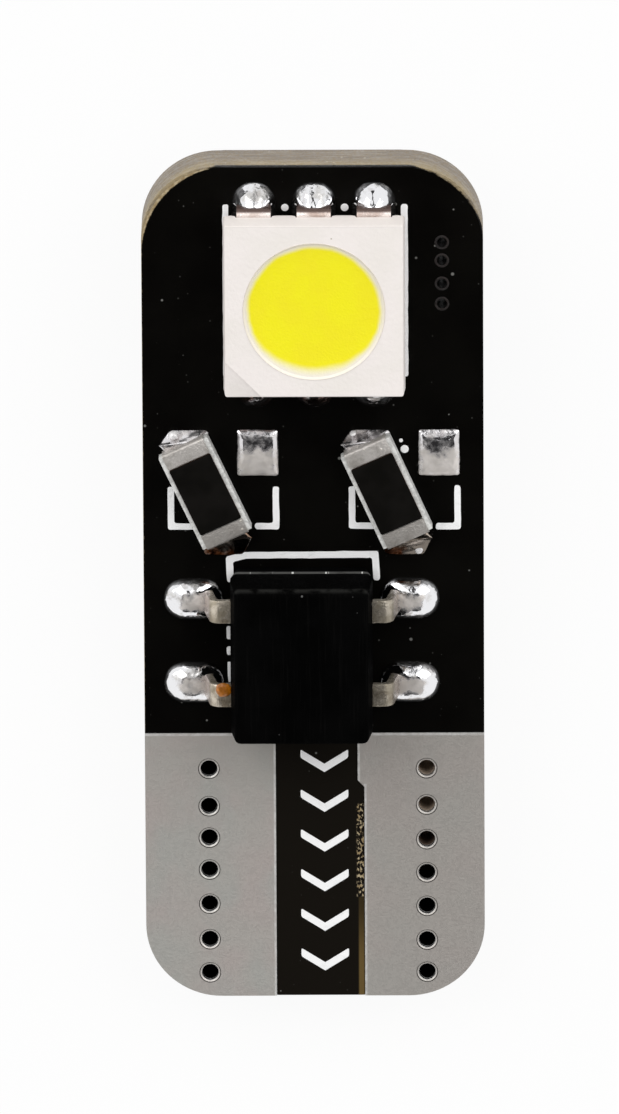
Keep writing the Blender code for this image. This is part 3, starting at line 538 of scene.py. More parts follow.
def lamp_moulding():
    finish = Finish("white_lamp_moulding", (250, 243, 239), Specular_IOR_Level=0.35, Subsurface_Weight=0.0)
    grain = finish.mottle(9.0, 3.0, 0.3, 0.7)
    finish.paint(finish.mottle(0.7, 3.0, 0.35, 0.7), (246, 240, 234))
    # Painted shade: the upper wall at the lamp end is darker, as in softer light.
    finish.paint(finish.ramp(finish.axis(1), LAMP.y + 2.37, LAMP.y + 2.46, 0.0, 0.6), (226, 218, 212))
    finish.paint(finish.specks(2.2, 0.2, 0.05), (196, 186, 172))
    finish.bump(grain, 0.004)
    return finish.done(Roughness=finish.ramp(grain, 0.0, 1.0, 0.42, 0.55))


def phosphor_gel():
    """Yellow gel whose colour thins to cream at the lower right of its rim."""
    finish = Finish(
        "yellow_phosphor_gel", (255, 246, 10), Coat_Weight=0.25, Coat_Roughness=0.2, Specular_IOR_Level=0.4
    )
    centre = middle("front_led_phosphor", BOARD)
    wander = finish.times(finish.mottle(1.6, 3.0, 0.2, 0.8), 0.05)
    finish.paint(finish.mottle(1.1, 3.0, 0.3, 0.7), (254, 241, 20))
    for shift_x, shift_y, narrow, start, end, colour in (
        (0.02, 0.11, 0.925, 1.68, 1.94, (254, 247, 204)), (0.0, 0.0, 1.0, 1.76, 1.96, (248, 241, 234)),
    ):
        offset = finish.vector("SUBTRACT", finish.at, (centre.x + shift_x, centre.y + shift_y, 0.0))
        reach = finish.vector("LENGTH", finish.vector("MULTIPLY", offset, (narrow, 1.0, 0.0)))
        finish.paint(finish.ramp(finish.maths("ADD", reach, wander), start, end), colour)
    grains = finish.mottle(16.0, 3.0, 0.3, 0.7)
    finish.bump(grains, 0.003)
    return finish.done(Roughness=finish.ramp(grains, 0.0, 1.0, 0.35, 0.5))


def lead_tin(name, bright, dull, stain, stained, metallic, wetted=None, scorched=None):
    """Tinned lead frame, brighter and duller in patches.

    A wetted foot is lighter where solder covers it. A scorched face is brown from its bend down.
    """
    finish = Finish(name, bright, Metallic=metallic)
    patch = finish.mottle(3.2, 4.0, 0.4, 0.62)
    finish.paint(patch, dull)
    finish.paint(finish.mottle(2.1, 3.0, 0.5, 0.64), stain, stained)
    if wetted:
        centre, reach = wetted
        foot = finish.ramp(finish.off(0, centre), reach, reach + 0.1, 0.0, 0.85)
        finish.paint(foot, finish.blend(patch, (232, 220, 214), (204, 192, 186)))
        finish.paint(finish.ramp(finish.axis(0), 0.0, 1.0, 0.0, 0.45), (128, 122, 110))
    if scorched:
        centre, reach = scorched
        finish.paint(finish.ramp(finish.off(1, centre), reach, reach + 0.07), (88, 70, 64))
    finish.bump(finish.mottle(18.0, 3.0, 0.3, 0.7), 0.005)
    return finish.done(Roughness=finish.ramp(patch, 0.0, 1.0, 0.24, 0.42))


def solder(name, bright, dull, roughness, stained, stain=None, zones=(), haze=0.0):
    """Reflowed solder: bright, crinkled here and there, with a little burnt flux.

    Zones are frosted all over, and haze frosts the rest in patches.
    """
    finish = Finish(name, bright)
    frost = finish.mottle(2.6, 4.0, 0.5, 0.66)
    ripple = finish.mottle(3.0, 2.0, 0.2, 0.8)
    crinkle = finish.times(finish.mottle(8.0, 3.0, 0.3, 0.7), finish.mottle(1.7, 2.0, 0.5, 0.62))
    finish.paint(frost, dull)
    finish.paint(finish.mottle(2.4, 4.0, 0.56, 0.66), (96, 70, 52), stained)
    if stain:
        tint, places = stain
        for centre, half in places:
            finish.paint(finish.window(centre, half, 0.12), tint, finish.mottle(3.6, 4.0, 0.3, 0.55))
    frosted = finish.times(finish.mottle(6.0, 4.0, 0.4, 0.7), haze)
    cloudy = finish.times(finish.mottle(4.5, 4.0, 0.25, 0.75), 0.6)
    for centre, half, soft in zones:
        spread = finish.maths("ADD", finish.window(centre, half, soft), cloudy)
        frosted = finish.maths("MAXIMUM", frosted, finish.ramp(spread, 0.6, 1.25))
    finish.paint(frosted, finish.blend(ripple, (232, 226, 221), (206, 200, 194)))
    rough = finish.ramp(frost, 0.0, 1.0, roughness, roughness + 0.16)
    finish.bump(finish.maths("ADD", ripple, finish.times(crinkle, 0.7)), 0.006)
    return finish.done(
        Metallic=finish.maths("SUBTRACT", 1.0, finish.times(frosted, 0.62)),
        Roughness=finish.maths("ADD", rough, finish.times(frosted, 0.3)),
    )


def knob_with_painted_highlight():
    """A knob of frosted solder, left where the iron was drawn away, painted near white as its highlight."""
    # Near white all over: a painted highlight on frosted solder.
    finish = Finish("frosted_solder_painted_white", (255, 253, 252), Metallic=0.15)
    cloud = finish.mottle(4.0, 3.0, 0.3, 0.7)
    finish.paint(cloud, (232, 230, 230))
    finish.bump(cloud, 0.006)
    return finish.done(Roughness=0.3)


def moulding_epoxy():
    """Black epoxy, with a painted highlight along the flash of its mould and a mottled painted sheen along
    its upper edge, both at the lamp end.
    """
    finish = Finish("black_moulding_epoxy", (4, 4, 4), Specular_IOR_Level=0.002)
    grain = finish.mottle(20.0, 3.0, 0.3, 0.7)
    finish.paint(finish.mottle(0.8), (7, 7, 7))
    finish.paint(finish.mottle(2.6, 3.0, 0.52, 0.7, (6.0, 0.25, 6.0)), (60, 58, 56), 0.03)
    finish.paint(finish.specks(2.0, 0.45, 0.07), (150, 150, 148), 0.4)
    lamp_end = finish.ramp(finish.axis(1), 0.42, 0.48)
    off = finish.off(2, FACE + RECTIFIER_FLASH)
    # Painted highlight: a broken pale line along the mould flash, where it would catch the light.
    flash_highlight = finish.times(finish.ramp(off, 0.10, 0.20, 1.0, 0.0), finish.mottle(2.4, 4.0, 0.1, 0.5))
    crumbs = finish.mottle(4.2, 2.0, 0.60, 0.64, (1.0, 0.0, 0.0))
    flecks = finish.times(finish.ramp(off, 0.10, 0.16, 1.0, 0.0), crumbs)
    # Painted sheen: a mottled grey band along the rounded upper edge.
    edge_sheen = finish.ramp(finish.off(2, FACE + RECTIFIER_SHEEN_LEVEL), 0.02, 0.16, 0.5, 0.0)
    finish.paint(flash_highlight, (88, 88, 86), lamp_end)
    finish.paint(finish.times(edge_sheen, finish.mottle(3.2, 4.0, 0.3, 0.6)), (54, 54, 52), lamp_end)
    finish.paint(flecks, (240, 240, 236), lamp_end)
    finish.bump(grain, 0.003)
    return finish.done(Roughness=finish.ramp(grain, 0.0, 1.0, 0.45, 0.55))


def white_ceramic():
    finish = Finish("white_alumina", (232, 232, 229), Specular_IOR_Level=0.4)
    grain = finish.mottle(9.0, 4.0, 0.35, 0.65)
    finish.paint(grain, (196, 196, 193))
    finish.paint(finish.specks(4.0, 0.25, 0.1), (158, 156, 150))
    finish.bump(grain, 0.006)
    return finish.done(Roughness=0.5)


def black_glaze():
    """Black glass, thin and brown at its edge."""
    finish = Finish("black_glass_overcoat", (14, 13, 11), Specular_IOR_Level=0.12)
    cloud = finish.mottle(1.4, 3.0, 0.3, 0.7)
    finish.paint(cloud, (18, 16, 14))
    finish.paint(finish.specks(5.0, 0.12, 0.07), (50, 47, 42))
    finish.paint(finish.ramp(finish.axis(2), FACE + 0.645, FACE + 0.630), (66, 38, 14))
    finish.bump(cloud, 0.004)
    return finish.done(Roughness=finish.ramp(cloud, 0.0, 1.0, 0.3, 0.42))


def terminal_tin():
    finish = Finish("tinned_end_cap", (206, 201, 196), Metallic=0.35)
    patch = finish.mottle(3.0, 4.0, 0.38, 0.64)
    pits = finish.specks(4.4, 0.5, 0.16)
    finish.paint(patch, (168, 163, 157))
    finish.paint(finish.ramp(finish.axis(1), 2.2, 3.2, 0.6, 0.1), (132, 128, 123))
    finish.paint(pits, (232, 226, 212), 0.5)
    finish.bump(finish.maths("ADD", finish.mottle(12.0, 4.0, 0.3, 0.7), pits), 0.008)
    return finish.done(Roughness=finish.ramp(patch, 0.0, 1.0, 0.36, 0.5))


def flux_residue(name, colour, roughness):
    finish = Finish(name, colour, Coat_Weight=0.6, Coat_Roughness=0.1)
    cloud = finish.mottle(4.0, 3.0, 0.3, 0.7)
    red, green, blue, _ = shade(colour)
    finish.paint(cloud, (0.35 * red, 0.35 * green, 0.35 * blue, 1.0))
    finish.bump(cloud, 0.01)
    return finish.done(Roughness=roughness)


def spots(nodes, drop, half, soft):
    """Soft frosted zones over some solids."""
    centres = [middle(node, FRONT) for node in nodes]
    return [((centre.x, centre.y - drop), half, soft) for centre in centres]


GLASS_EPOXY = glass_epoxy()
SOLDER_MASK = solder_mask()
INK = printed_ink()
TIN = levelled_tin()
LAMP_MOULDING = lamp_moulding()
PHOSPHOR = phosphor_gel()
LAMP_LEAD_TIN = lead_tin(
    "lamp_lead_tin", (240, 228, 222), (214, 198, 190), (150, 112, 92), 0.4, 0.35, None, (LAMP.y, 2.57)
)
RECTIFIER_LEAD_TIN = lead_tin(
    "rectifier_lead_tin", (206, 196, 180), (160, 150, 132), (112, 96, 72), 0.6, 0.6,
    (middle("rectifier_body", FRONT).x, 2.5),
)
BRIGHT_SOLDER = solder(
    "bright_solder", (236, 236, 238), (210, 208, 206), 0.07, 0.3, None,
    spots([f"rectifier_solder_{joint}" for joint in range(1, 5)], 0.0, (0.62, 0.46), 0.42),
)
# The left and middle domes at the lower end are painted darker and browner.
LAMP_SOLDER = solder(
    "lamp_solder", (236, 236, 238), (210, 208, 206), 0.07, 0.2,
    ((120, 98, 90), [((LAMP.x - 0.9, LAMP.y - 2.85), (1.8, 0.4))]),
)
FROSTED_SOLDER = solder(
    "frosted_solder", (222, 220, 222), (190, 185, 186), 0.12, 0.1, None,
    spots(("left_bare_pad", "right_bare_pad"), 0.34, (0.98, 0.86), 0.7), 0.4,
)
STAINED_SOLDER = solder(
    "flux_stained_solder", (120, 112, 104), (84, 74, 64), 0.16, 0.9,
    ((70, 36, 12), [((-2.45, 0.92), (0.75, 0.28)), ((2.10, 1.0), (0.42, 0.3))]),
)
EPOXY = moulding_epoxy()
CERAMIC = white_ceramic()
GLAZE = black_glaze()
TERMINAL = terminal_tin()
HIGHLIGHTED_KNOB = knob_with_painted_highlight()
AMBER = flux_residue("amber_flux", (214, 128, 24), 0.3)
BURNT_RING = flux_residue("burnt_mask_ring", (22, 9, 5), 0.6)


# Modelling by hand

EXTRUDE = {
    "VERT": bpy.ops.mesh.extrude_vertices_move,
    "EDGE": bpy.ops.mesh.extrude_edges_move,
    "FACE": bpy.ops.mesh.extrude_region_move,
}


def begin():
    if bpy.context.mode != "OBJECT":
        bpy.ops.object.mode_set(mode="OBJECT")
    bpy.ops.object.select_all(action="DESELECT")


def hold(obj):
    """Makes one object the active and only selected one."""
    begin()
    obj.select_set(True)
    bpy.context.view_layer.objects.active = obj


def named(name):
    """The primitive that was just added, with its place and size put into its mesh."""
    obj = bpy.context.object
    obj.name = name
    obj.data.name = name
    bpy.ops.object.transform_apply(location=True, rotation=True, scale=True)
    return obj


def edit(obj, kind="VERT"):
    hold(obj)
    bpy.ops.object.mode_set(mode="EDIT")
    bpy.ops.mesh.select_mode(type=kind)


def finish_edit():
    bpy.ops.object.mode_set(mode="OBJECT")


def pick(kind, test):
    """Selects those vertices, edges or faces of the edited piece that pass a test, and nothing else."""
    mesh = bpy.context.edit_object.data
    bpy.ops.mesh.select_mode(type=kind)
    bpy.ops.mesh.select_all(action="DESELECT")
    shape = bmesh.from_edit_mesh(mesh)
    for item in {"VERT": shape.verts, "EDGE": shape.edges, "FACE": shape.faces}[kind]:
        if test(item):
            item.select_set(True)
    shape.select_flush_mode()
    bmesh.update_edit_mesh(mesh)


def pick_all():
    bpy.ops.mesh.select_all(action="SELECT")


def rise(edge):
    """How far an edge climbs."""
    return abs(edge.verts[0].co.z - edge.verts[1].co.z)


def extrude(kind, step):
    EXTRUDE[kind](TRANSFORM_OT_translate={"value": tuple(step)})


def lift(height):
    """Extrudes the selected faces straight up."""
    extrude("FACE", (0.0, 0.0, height))


def resize(scale, centre):
    bpy.ops.transform.resize(value=scale, center_override=centre)


def bevel(width, segments, kind="EDGES"):
    bpy.ops.mesh.bevel(offset=width, segments=segments, affect=kind)


def close_skin():
    """Turns every face of the edited piece outwards and ends the edit."""
    pick_all()
    bpy.ops.mesh.normals_make_consistent(inside=False)
    finish_edit()


def apply(obj, kind, **settings):
    """Adds a modifier with its settings and applies it."""
    modifier = obj.modifiers.new(kind.lower(), kind)
    for key, value in settings.items():
        setattr(modifier, key, value)
    hold(obj)
    bpy.ops.object.modifier_apply(modifier=modifier.name)
    return obj


def carve(obj, cutter, operation="DIFFERENCE"):
    apply(obj, "BOOLEAN", operation=operation, object=cutter, solver="EXACT")
    bpy.data.objects.remove(cutter, do_unlink=True)


def round_off(obj, width, segments=2):
    return apply(obj, "BEVEL", width=width, segments=segments, limit_method="ANGLE", angle_limit=SHARP)


def move(obj, place):
    obj.data.transform(place)
    obj.data.update()


def settle(obj, place, material, slot, *nodes):
    """Puts a finished piece where it belongs, gives it its finish and lets it stand for its solids."""
    move(obj, place)
    obj.data.materials.clear()
    obj.data.materials.append(material)
    hold(obj)
    bpy.ops.object.shade_smooth_by_angle(angle=SHARP)
    if slot != "solder":
        apply(obj, "WEIGHTED_NORMAL", keep_sharp=True, weight=80)
    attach(obj, "root")
    if nodes:
        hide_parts(*nodes)


def block(name, low, high):
    begin()
    low, high = Vector(low), Vector(high)
    bpy.ops.mesh.primitive_cube_add(size=1.0, location=(low + high) / 2)
    bpy.context.object.scale = high - low
    return named(name)


def sheet(name, low, high, level=0.0):
    """A flat rectangle between two corners."""
    begin()
    centre = ((low[0] + high[0]) / 2, (low[1] + high[1]) / 2, level)
    bpy.ops.mesh.primitive_plane_add(size=1.0, location=centre)
    bpy.context.object.scale = (high[0] - low[0], high[1] - low[1], 1.0)
    return named(name)


def rod(name, place, diameter, low, high, sides=40):
    begin()
    bpy.ops.mesh.primitive_cylinder_add(
        vertices=sides, radius=diameter / 2, depth=high - low, location=(*place, (low + high) / 2)
    )
    return named(name)


def path(name, points, step=math.inf):
    """A run of edges through points, cut up where it is longer than a step.

    It is left in edit, all selected.
    """
    begin()
    bpy.ops.mesh.primitive_plane_add(size=1.0)
    obj = named(name)
    edit(obj)
    pick_all()
    bpy.ops.mesh.merge(type="CENTER")
    bpy.ops.transform.translate(value=points[0])
    for before, after in zip(points, points[1:]):
        run = Vector(after) - Vector(before)
        count = max(1, round(run.length / step))
        for _ in range(count):
            extrude("VERT", run / count)
    pick_all()
    return obj


def round_corners(obj, radius, segments, test=lambda vert: True):
    """Rounds the corners of a flat sheet that pass a test."""
    edit(obj)
    pick("VERT", test)
    bevel(radius, segments, "VERTICES")
    finish_edit()


def thicken(obj, height):
    """Draws a flat sheet up into a plate."""
    edit(obj)
    pick_all()
    lift(height)
    close_skin()
    return obj


def bent_strip(name, corners, width, thickness, bend, edge):
    """A bent strip of sheet metal along corners in the XZ plane, with rounded bends and edges."""
    obj = path(name, [(x, -width / 2, z) for x, z in corners])
    extrude("EDGE", (0.0, width, 0.0))
    pick("EDGE", lambda e: len(e.link_faces) == 2)
    bevel(bend, 5)
    close_skin()
    apply(obj, "SOLIDIFY", thickness=thickness, offset=0.0, use_even_offset=True)
    return round_off(obj, edge)


def lap(name, outline, share, centre):
    """Starts a deposit of solder: draws it up from its pad, and over the mask round it by a share."""
    outline.name = name
    edit(outline, "FACE")
    pick_all()
    lift(MASK_TOP - SEAT + HAIR)
    lift(HAIR)
    resize((share, share, 1.0), (*centre, 0.0))


def heap(name, outline, height, crown, fullness, ridge, rings=5, top=82):
    """A deposit of solder drawn up from a flat outline to its crown.

    Fullness runs from 0, straight sides, to 1, round ones. Ridge is the share of the width its top keeps.
    """
    lap(name, outline, HEAP_LAP, crown)
    before_share, before_level = 1.0, 0.0
    for ring in range(1, rings + 1):
        angle = math.radians(top * ring / rings)
        share = fullness * math.cos(angle) + (1 - fullness) * (1 - math.sin(angle))
        level = height * math.sin(angle)
        lift(level - before_level)
        across = (ridge + (1 - ridge) * share) / (ridge + (1 - ridge) * before_share)
        resize((share / before_share, across, 1.0), (*crown, 0.0))
        before_share, before_level = share, level
    close_skin()
    return outline


def wetted_slope(name, outline, height, crest, reach, turn, steps=6):
    """Solder that climbs from its pad to a chip's end, ever more steeply, with its crest along the end."""
    low, high = extent([vert.co for vert in outline.data.vertices])
    start = ((low + high) / 2).xy
    lap(name, outline, SLOPE_LAP, start)
    gain_x = reach[0] / (high.x - low.x) - 1
    gain_y = reach[1] / (high.y - low.y) - 1
    gone, climbed = 0.0, 0.0
    for step in range(1, steps + 1):
        share = step / steps
        climb = height * share ** SLOPE_CLIMB
        stride = (crest - start) * (share - gone)
        at = (*(start + (crest - start) * share), 0.0)
        extrude("FACE", (*stride, climb - climbed))
        grown = [(1 + gain * share) / (1 + gain * gone) for gain in (gain_x, gain_y)]
        resize((*grown, 1.0), at)
        bpy.ops.transform.rotate(value=-turn * (share - gone), orient_axis="Z", center_override=at)
        gone, climbed = share, climb
    close_skin()
    return outline


def soften(obj, levels, ripple, grain):
    """Smooths a piece and makes its surface a little uneven."""
    apply(obj, "SUBSURF", levels=levels, render_levels=levels)
    for share, size in ((1.0, grain), (0.35, grain / 3)):
        cloud = bpy.data.textures.new(obj.name + "_unevenness", "CLOUDS")
        cloud.noise_scale = size
        apply(
            obj, "DISPLACE", texture=cloud, texture_coords="LOCAL", strength=share * ripple, mid_level=0.5
        )


def bead(name, centre, size, material, slot):
    """A small uneven drop."""
    begin()
    bpy.ops.mesh.primitive_cube_add(size=1.0, location=centre)
    bpy.context.object.scale = size
    drop = named(name)
    soften(drop, 4, 0.06, 0.3)
    settle(drop, FRONT, material, slot)


# Board, mask and contacts

def board_core():
    """The glass-epoxy board, drilled for the contacts and the link holes."""
    board = sheet("board", (-HALF_WIDTH, -HALF_LENGTH), (HALF_WIDTH, HALF_LENGTH), -FACE)
    round_corners(board, BOARD_CORNER, 20)
    thicken(board, 2 * FACE)
    for x, rows in (VIA_LEFT, VIA_RIGHT):
        for y in rows:
            carve(board, rod("drill", (x, y), VIA_BORE + 2 * VIA_WALL + 2 * SEAT, -1.0, 1.0))
    for y in LINK_ROWS:
        carve(board, rod("drill", (LINK_X, y), LINK_HOLE, -1.0, 1.0, 24))
    round_off(board, 0.012, 1)
    settle(board, BOARD, GLASS_EPOXY, "glass_epoxy", "board_core")


def masks():
    """The mask solids have their true outline, so they only take their finish."""
    for side in ("front", "back"):
        mask = frame["nodes"][side + "_solder_mask"]
        mask.data.materials.clear()
        mask.data.materials.append(SOLDER_MASK)


def contact_plate(name, direction, level, neck):
    """One face of a contact, from the strip's edge out to the board's side."""
    inner = STRIP_RIGHT if direction > 0 else -STRIP_LEFT
    outer = direction * HALF_WIDTH
    left, right = sorted((direction * inner, outer))
    plate = sheet(name, (left, -HALF_LENGTH), (right, NECK_END - NECK_SLOPE), level)
    edit(plate)
    pick("EDGE", lambda e: min(v.co.y for v in e.verts) > NECK_END - NECK_SLOPE - HAIR)
    extrude("EDGE", (0.0, NECK_SLOPE, 0.0))
    extrude("EDGE", (0.0, CONTACT_TOP - NECK_END, 0.0))
    if neck:
        pick("VERT", lambda v: v.co.y > NECK_END - HAIR and abs(v.co.x - inner) < HAIR)
        bpy.ops.transform.translate(value=(STRIP_NECK - STRIP_RIGHT, 0.0, 0.0))
    pick_all()
    bpy.ops.mesh.dissolve_limited(angle_limit=math.radians(1))
    finish_edit()
    round_corners(
        plate, BOARD_CORNER, 20, lambda v: v.co.y < HAIR - HALF_LENGTH and abs(v.co.x - outer) < HAIR
    )
    return thicken(plate, CONTACT_SHEET)


def flared_drill(place, level, steps=5):
    """A cutter for a plated hole whose mouths round over into both plates."""
    straight = level - VIA_ROUND
    drill = rod("bore", place, VIA_BORE, -straight, straight, 48)
    edit(drill)
    for side in (1, -1):
        pick("FACE", lambda f: side * f.normal.z > 0.9)
        radius, height = VIA_BORE / 2, 0.0
        for step in range(1, steps + 1):
            angle = math.radians(90 * step / steps)
            wider = VIA_BORE / 2 + VIA_ROUND * (1 - math.cos(angle))
            higher = VIA_ROUND * math.sin(angle)
            lift(side * (higher - height))
            resize((wider / radius, wider / radius, 1.0), (*place, 0.0))
            radius, height = wider, higher
        lift(side * 0.2)
    finish_edit()
    return drill


def contact(name, direction, vias):
    """Both faces of a contact and the plated holes that join them."""
    x, rows = vias
    level = FACE + SEAT
    metal = contact_plate(name + "_sheet", direction, level, direction > 0)
    carve(metal, contact_plate("back_sheet", direction, -level - CONTACT_SHEET, False), "UNION")
    for y in rows:
        carve(metal, rod("barrel", (x, y), VIA_BORE + 2 * VIA_WALL, -level - HAIR, level + HAIR), "UNION")
    for y in rows:
        carve(metal, flared_drill((x, y), level + CONTACT_SHEET))
    settle(metal, BOARD, TIN, "tinned_contact", name)


def link_rings():
    """Small burnt rings round the link holes."""
    for number, y in enumerate(LINK_ROWS, start=1):
        ring = rod(f"link_ring_{number}", (LINK_X, y), LINK_RING, MASK_TOP - 0.01, MASK_TOP + 0.012, 32)
        carve(ring, rod("hole", (LINK_X, y), LINK_HOLE + 0.02, -0.5, 0.5, 32))
        round_off(ring, 0.008)
        settle(ring, FRONT, BURNT_RING, "solder_mask")


# Printed lines

def upright_corner(edge):
    """An edge that stands up from the board at a corner of an outline."""
    return rise(edge) > INK_THICKNESS / 2 and edge.is_manifold and edge.calc_face_angle() > SHARP


def printed_line(name, points, width=INK_WIDTH):
    """A printed line along its points, with round corners and slightly uneven edges."""
    line = path(name, [(x, y, INK_LEVEL) for x, y in points], INK_STEP)
    extrude("EDGE", (0.0, 0.0, INK_THICKNESS))
    finish_edit()
    apply(line, "SOLIDIFY", thickness=width, offset=0.0, use_even_offset=True)
    edit(line)
    pick("EDGE", upright_corner)
    bevel(0.36 * width, 4)
    finish_edit()
    cloud = bpy.data.textures.new(name + "_edge", "CLOUDS")
    cloud.noise_scale = 0.16
    for direction in ("X", "Y"):
        apply(
            line, "DISPLACE", texture=cloud, texture_coords="LOCAL", direction=direction, strength=0.035,
            mid_level=0.5,
        )
    settle(line, FRONT, INK, "silkscreen")


def printed_dot(name, x, y, diameter):
    dot = rod(name, (x, y), diameter, INK_LEVEL, INK_LEVEL + INK_THICKNESS, 20)
    round_off(dot, 0.006, 1)
    settle(dot, FRONT, INK, "silkscreen")


def chevron(name, y):
    """A plain arrow head that points to the wedge end."""
    arm = sheet(name, (0.0, y - 0.12), (0.66, y + 0.12), INK_LEVEL)
    edit(arm)
    pick("VERT", lambda v: v.co.x > 0.5)
    bpy.ops.transform.translate(value=(0.0, 0.42, 0.0))
    bevel(0.05, 3, "VERTICES")
    finish_edit()
    apply(arm, "MIRROR", use_clip=True, merge_threshold=0.001)
    thicken(arm, INK_THICKNESS)
    move(arm, Matrix.Translation(((STRIP_LEFT + STRIP_RIGHT) / 2 + 0.12, 0.0, 0.0)))
    settle(arm, FRONT, INK, "silkscreen")


def legend():
    printed_line("lamp_line_left", [(-2.38, 10.93), (-2.38, 5.98)], 0.16)
    printed_line("lamp_line_right", [(2.54, 10.93), (2.54, 5.98)], 0.19)
    printed_line("left_bracket_a", [(-3.93, 2.82), (-3.93, 1.67), (-3.22, 1.67)])
    printed_line("left_bracket_b", [(-1.03, 2.82), (-1.03, 1.67), (-1.62, 1.67)])
    printed_line("right_bracket_a", [(1.065, 2.82), (1.065, 1.68), (1.82, 1.68)])
    printed_line("right_bracket_b", [(3.977, 2.84), (3.977, 1.66), (3.38, 1.66)])
    printed_line(
        "rectifier_line", [(-2.30, 0.06), (-2.33, 0.72), (-1.88, 0.83), (1.70, 0.85), (1.74, 0.10)], 0.19
    )
    printed_line("rectifier_dash_1", [(-2.345, -1.22), (-2.345, -1.60)], 0.15)
    printed_line("rectifier_dash_2", [(-2.345, -1.81), (-2.345, -2.05)], 0.13)
    printed_line("rectifier_dash_3", [(-2.36, -2.26), (-2.34, -2.84)], 0.08)
    printed_dot("lamp_dot_1", -0.74, 10.84, 0.21)
    printed_dot("lamp_dot_2", 0.90, 10.84, 0.22)
    printed_dot("right_dot_1", 2.523, 3.89, 0.23)
    printed_dot("right_dot_2", 2.425, 4.138, 0.11)
    for number in range(6):
        chevron(f"strip_arrow_{number + 1}", -5.35 - ARROW_PITCH * number)


# Lamps

def lamp_leads(prefix, spot):
    """Where the lamp's six leads stand and which end each is at, from the solids."""
    places = [middle(f"{prefix}_lead_{number}", spot) for number in range(1, 7)]
    return [(round(at.x, 3), 1 if at.y > 0 else -1) for at in places]


def cup_cutter(top):
    """A cutter for the reflector cup, with its upright lip."""
    begin()
    depth = CUP_DEPTH - CUP_LIP
    bpy.ops.mesh.primitive_cone_add(
        vertices=96, radius1=CUP_DIAMETER / 2 - CUP_SLOPE, radius2=CUP_DIAMETER / 2, depth=depth,
        location=(0.0, 0.0, top - CUP_LIP - depth / 2),
    )
    cup = named("cup")
    edit(cup)
    pick("FACE", lambda f: f.normal.z > 0.9)
    lift(2 * CUP_LIP)
    finish_edit()
    return cup


def lamp_housing(prefix, spot, leads):
    """The moulded housing with its reflector cup, corner mark and lead recesses."""
    low, high = span(prefix + "_housing", spot)
    body = block(prefix + "_moulding", low, high)
    edit(body)
    pick_all()
    bpy.ops.mesh.bisect(plane_co=(0.0, 0.0, LAMP_PARTING), plane_no=(0.0, 0.0, 1.0))
    for side, draft in ((1, LAMP_DRAFT), (-1, LAMP_UNDERCUT)):
        pick("VERT", lambda v: side * (v.co.z - LAMP_PARTING) > HAIR)
        resize((1 - draft / high.x, 1 - draft / high.y, 1.0), (0.0, 0.0, LAMP_PARTING))
    pick("EDGE", lambda e: rise(e) > 0.3)
    bevel(0.06, 3)
    finish_edit()
    round_off(body, 0.03)
    carve(body, cup_cutter(high.z))
    mark = block("mark", (-3.0, -3.0, high.z - CORNER_MARK_DEPTH), (3.0, 0.0, high.z + 0.1))
    reach = CORNER_MARK + LAMP_DRAFT
    move(mark, stand(low.x + reach, low.y + reach, math.radians(-45)))
    carve(body, mark)
    half = LAMP_LEAD_WIDTH / 2 + SEAT
    for x, sign in leads:
        y_low, y_high = sorted((sign * (high.y + 0.1), sign * (high.y - LAMP_RECESS)))
        slot = block("recess", (x - half, y_low, low.z - 0.1), (x + half, y_high, LAMP_PARTING + 0.1))
        edit(slot)
        pick("VERT", lambda v: v.co.z < low.z)
        resize((LAMP_RECESS_SPLAY, 1.0, 1.0), (x, 0.0, 0.0))
        finish_edit()
        carve(body, slot)
    round_off(body, 0.012)
    settle(body, spot, LAMP_MOULDING, "lamp_housing", prefix + "_housing")


def gel(prefix, spot):
    """The gel in the cup, a little lower at its middle than at its rim."""
    low, high = span(prefix + "_phosphor", spot)
    rim = CUP_DIAMETER / 2 - GEL_GAP
    begin()
    bpy.ops.mesh.primitive_circle_add(
        vertices=96, radius=rim - CUP_SLOPE, fill_type="NGON", location=(0.0, 0.0, low.z)
    )
    body = named(prefix + "_gel")
    edit(body, "FACE")
    pick_all()
    widen = rim / (rim - CUP_SLOPE)
    lift(high.z - low.z - GEL_LEDGE)
    resize((widen, widen, 1.0), (0.0, 0.0, 0.0))
    lift(GEL_LEDGE + GEL_MENISCUS)
    drops = ((0.97, 0.022 + GEL_MENISCUS), (0.9, 0.022), (0.75, 0.015), (0.5, 0.010), (0.2, 0.005))
    for share, drop in drops:
        bpy.ops.mesh.inset(thickness=0.0)
        resize((share, share, 1.0), (0.0, 0.0, 0.0))
        bpy.ops.transform.translate(value=(0.0, 0.0, -drop))
    pick_all()
    bpy.ops.mesh.remove_doubles(threshold=0.0005)
    close_skin()
    settle(body, spot, PHOSPHOR, "phosphor_gel", prefix + "_phosphor")


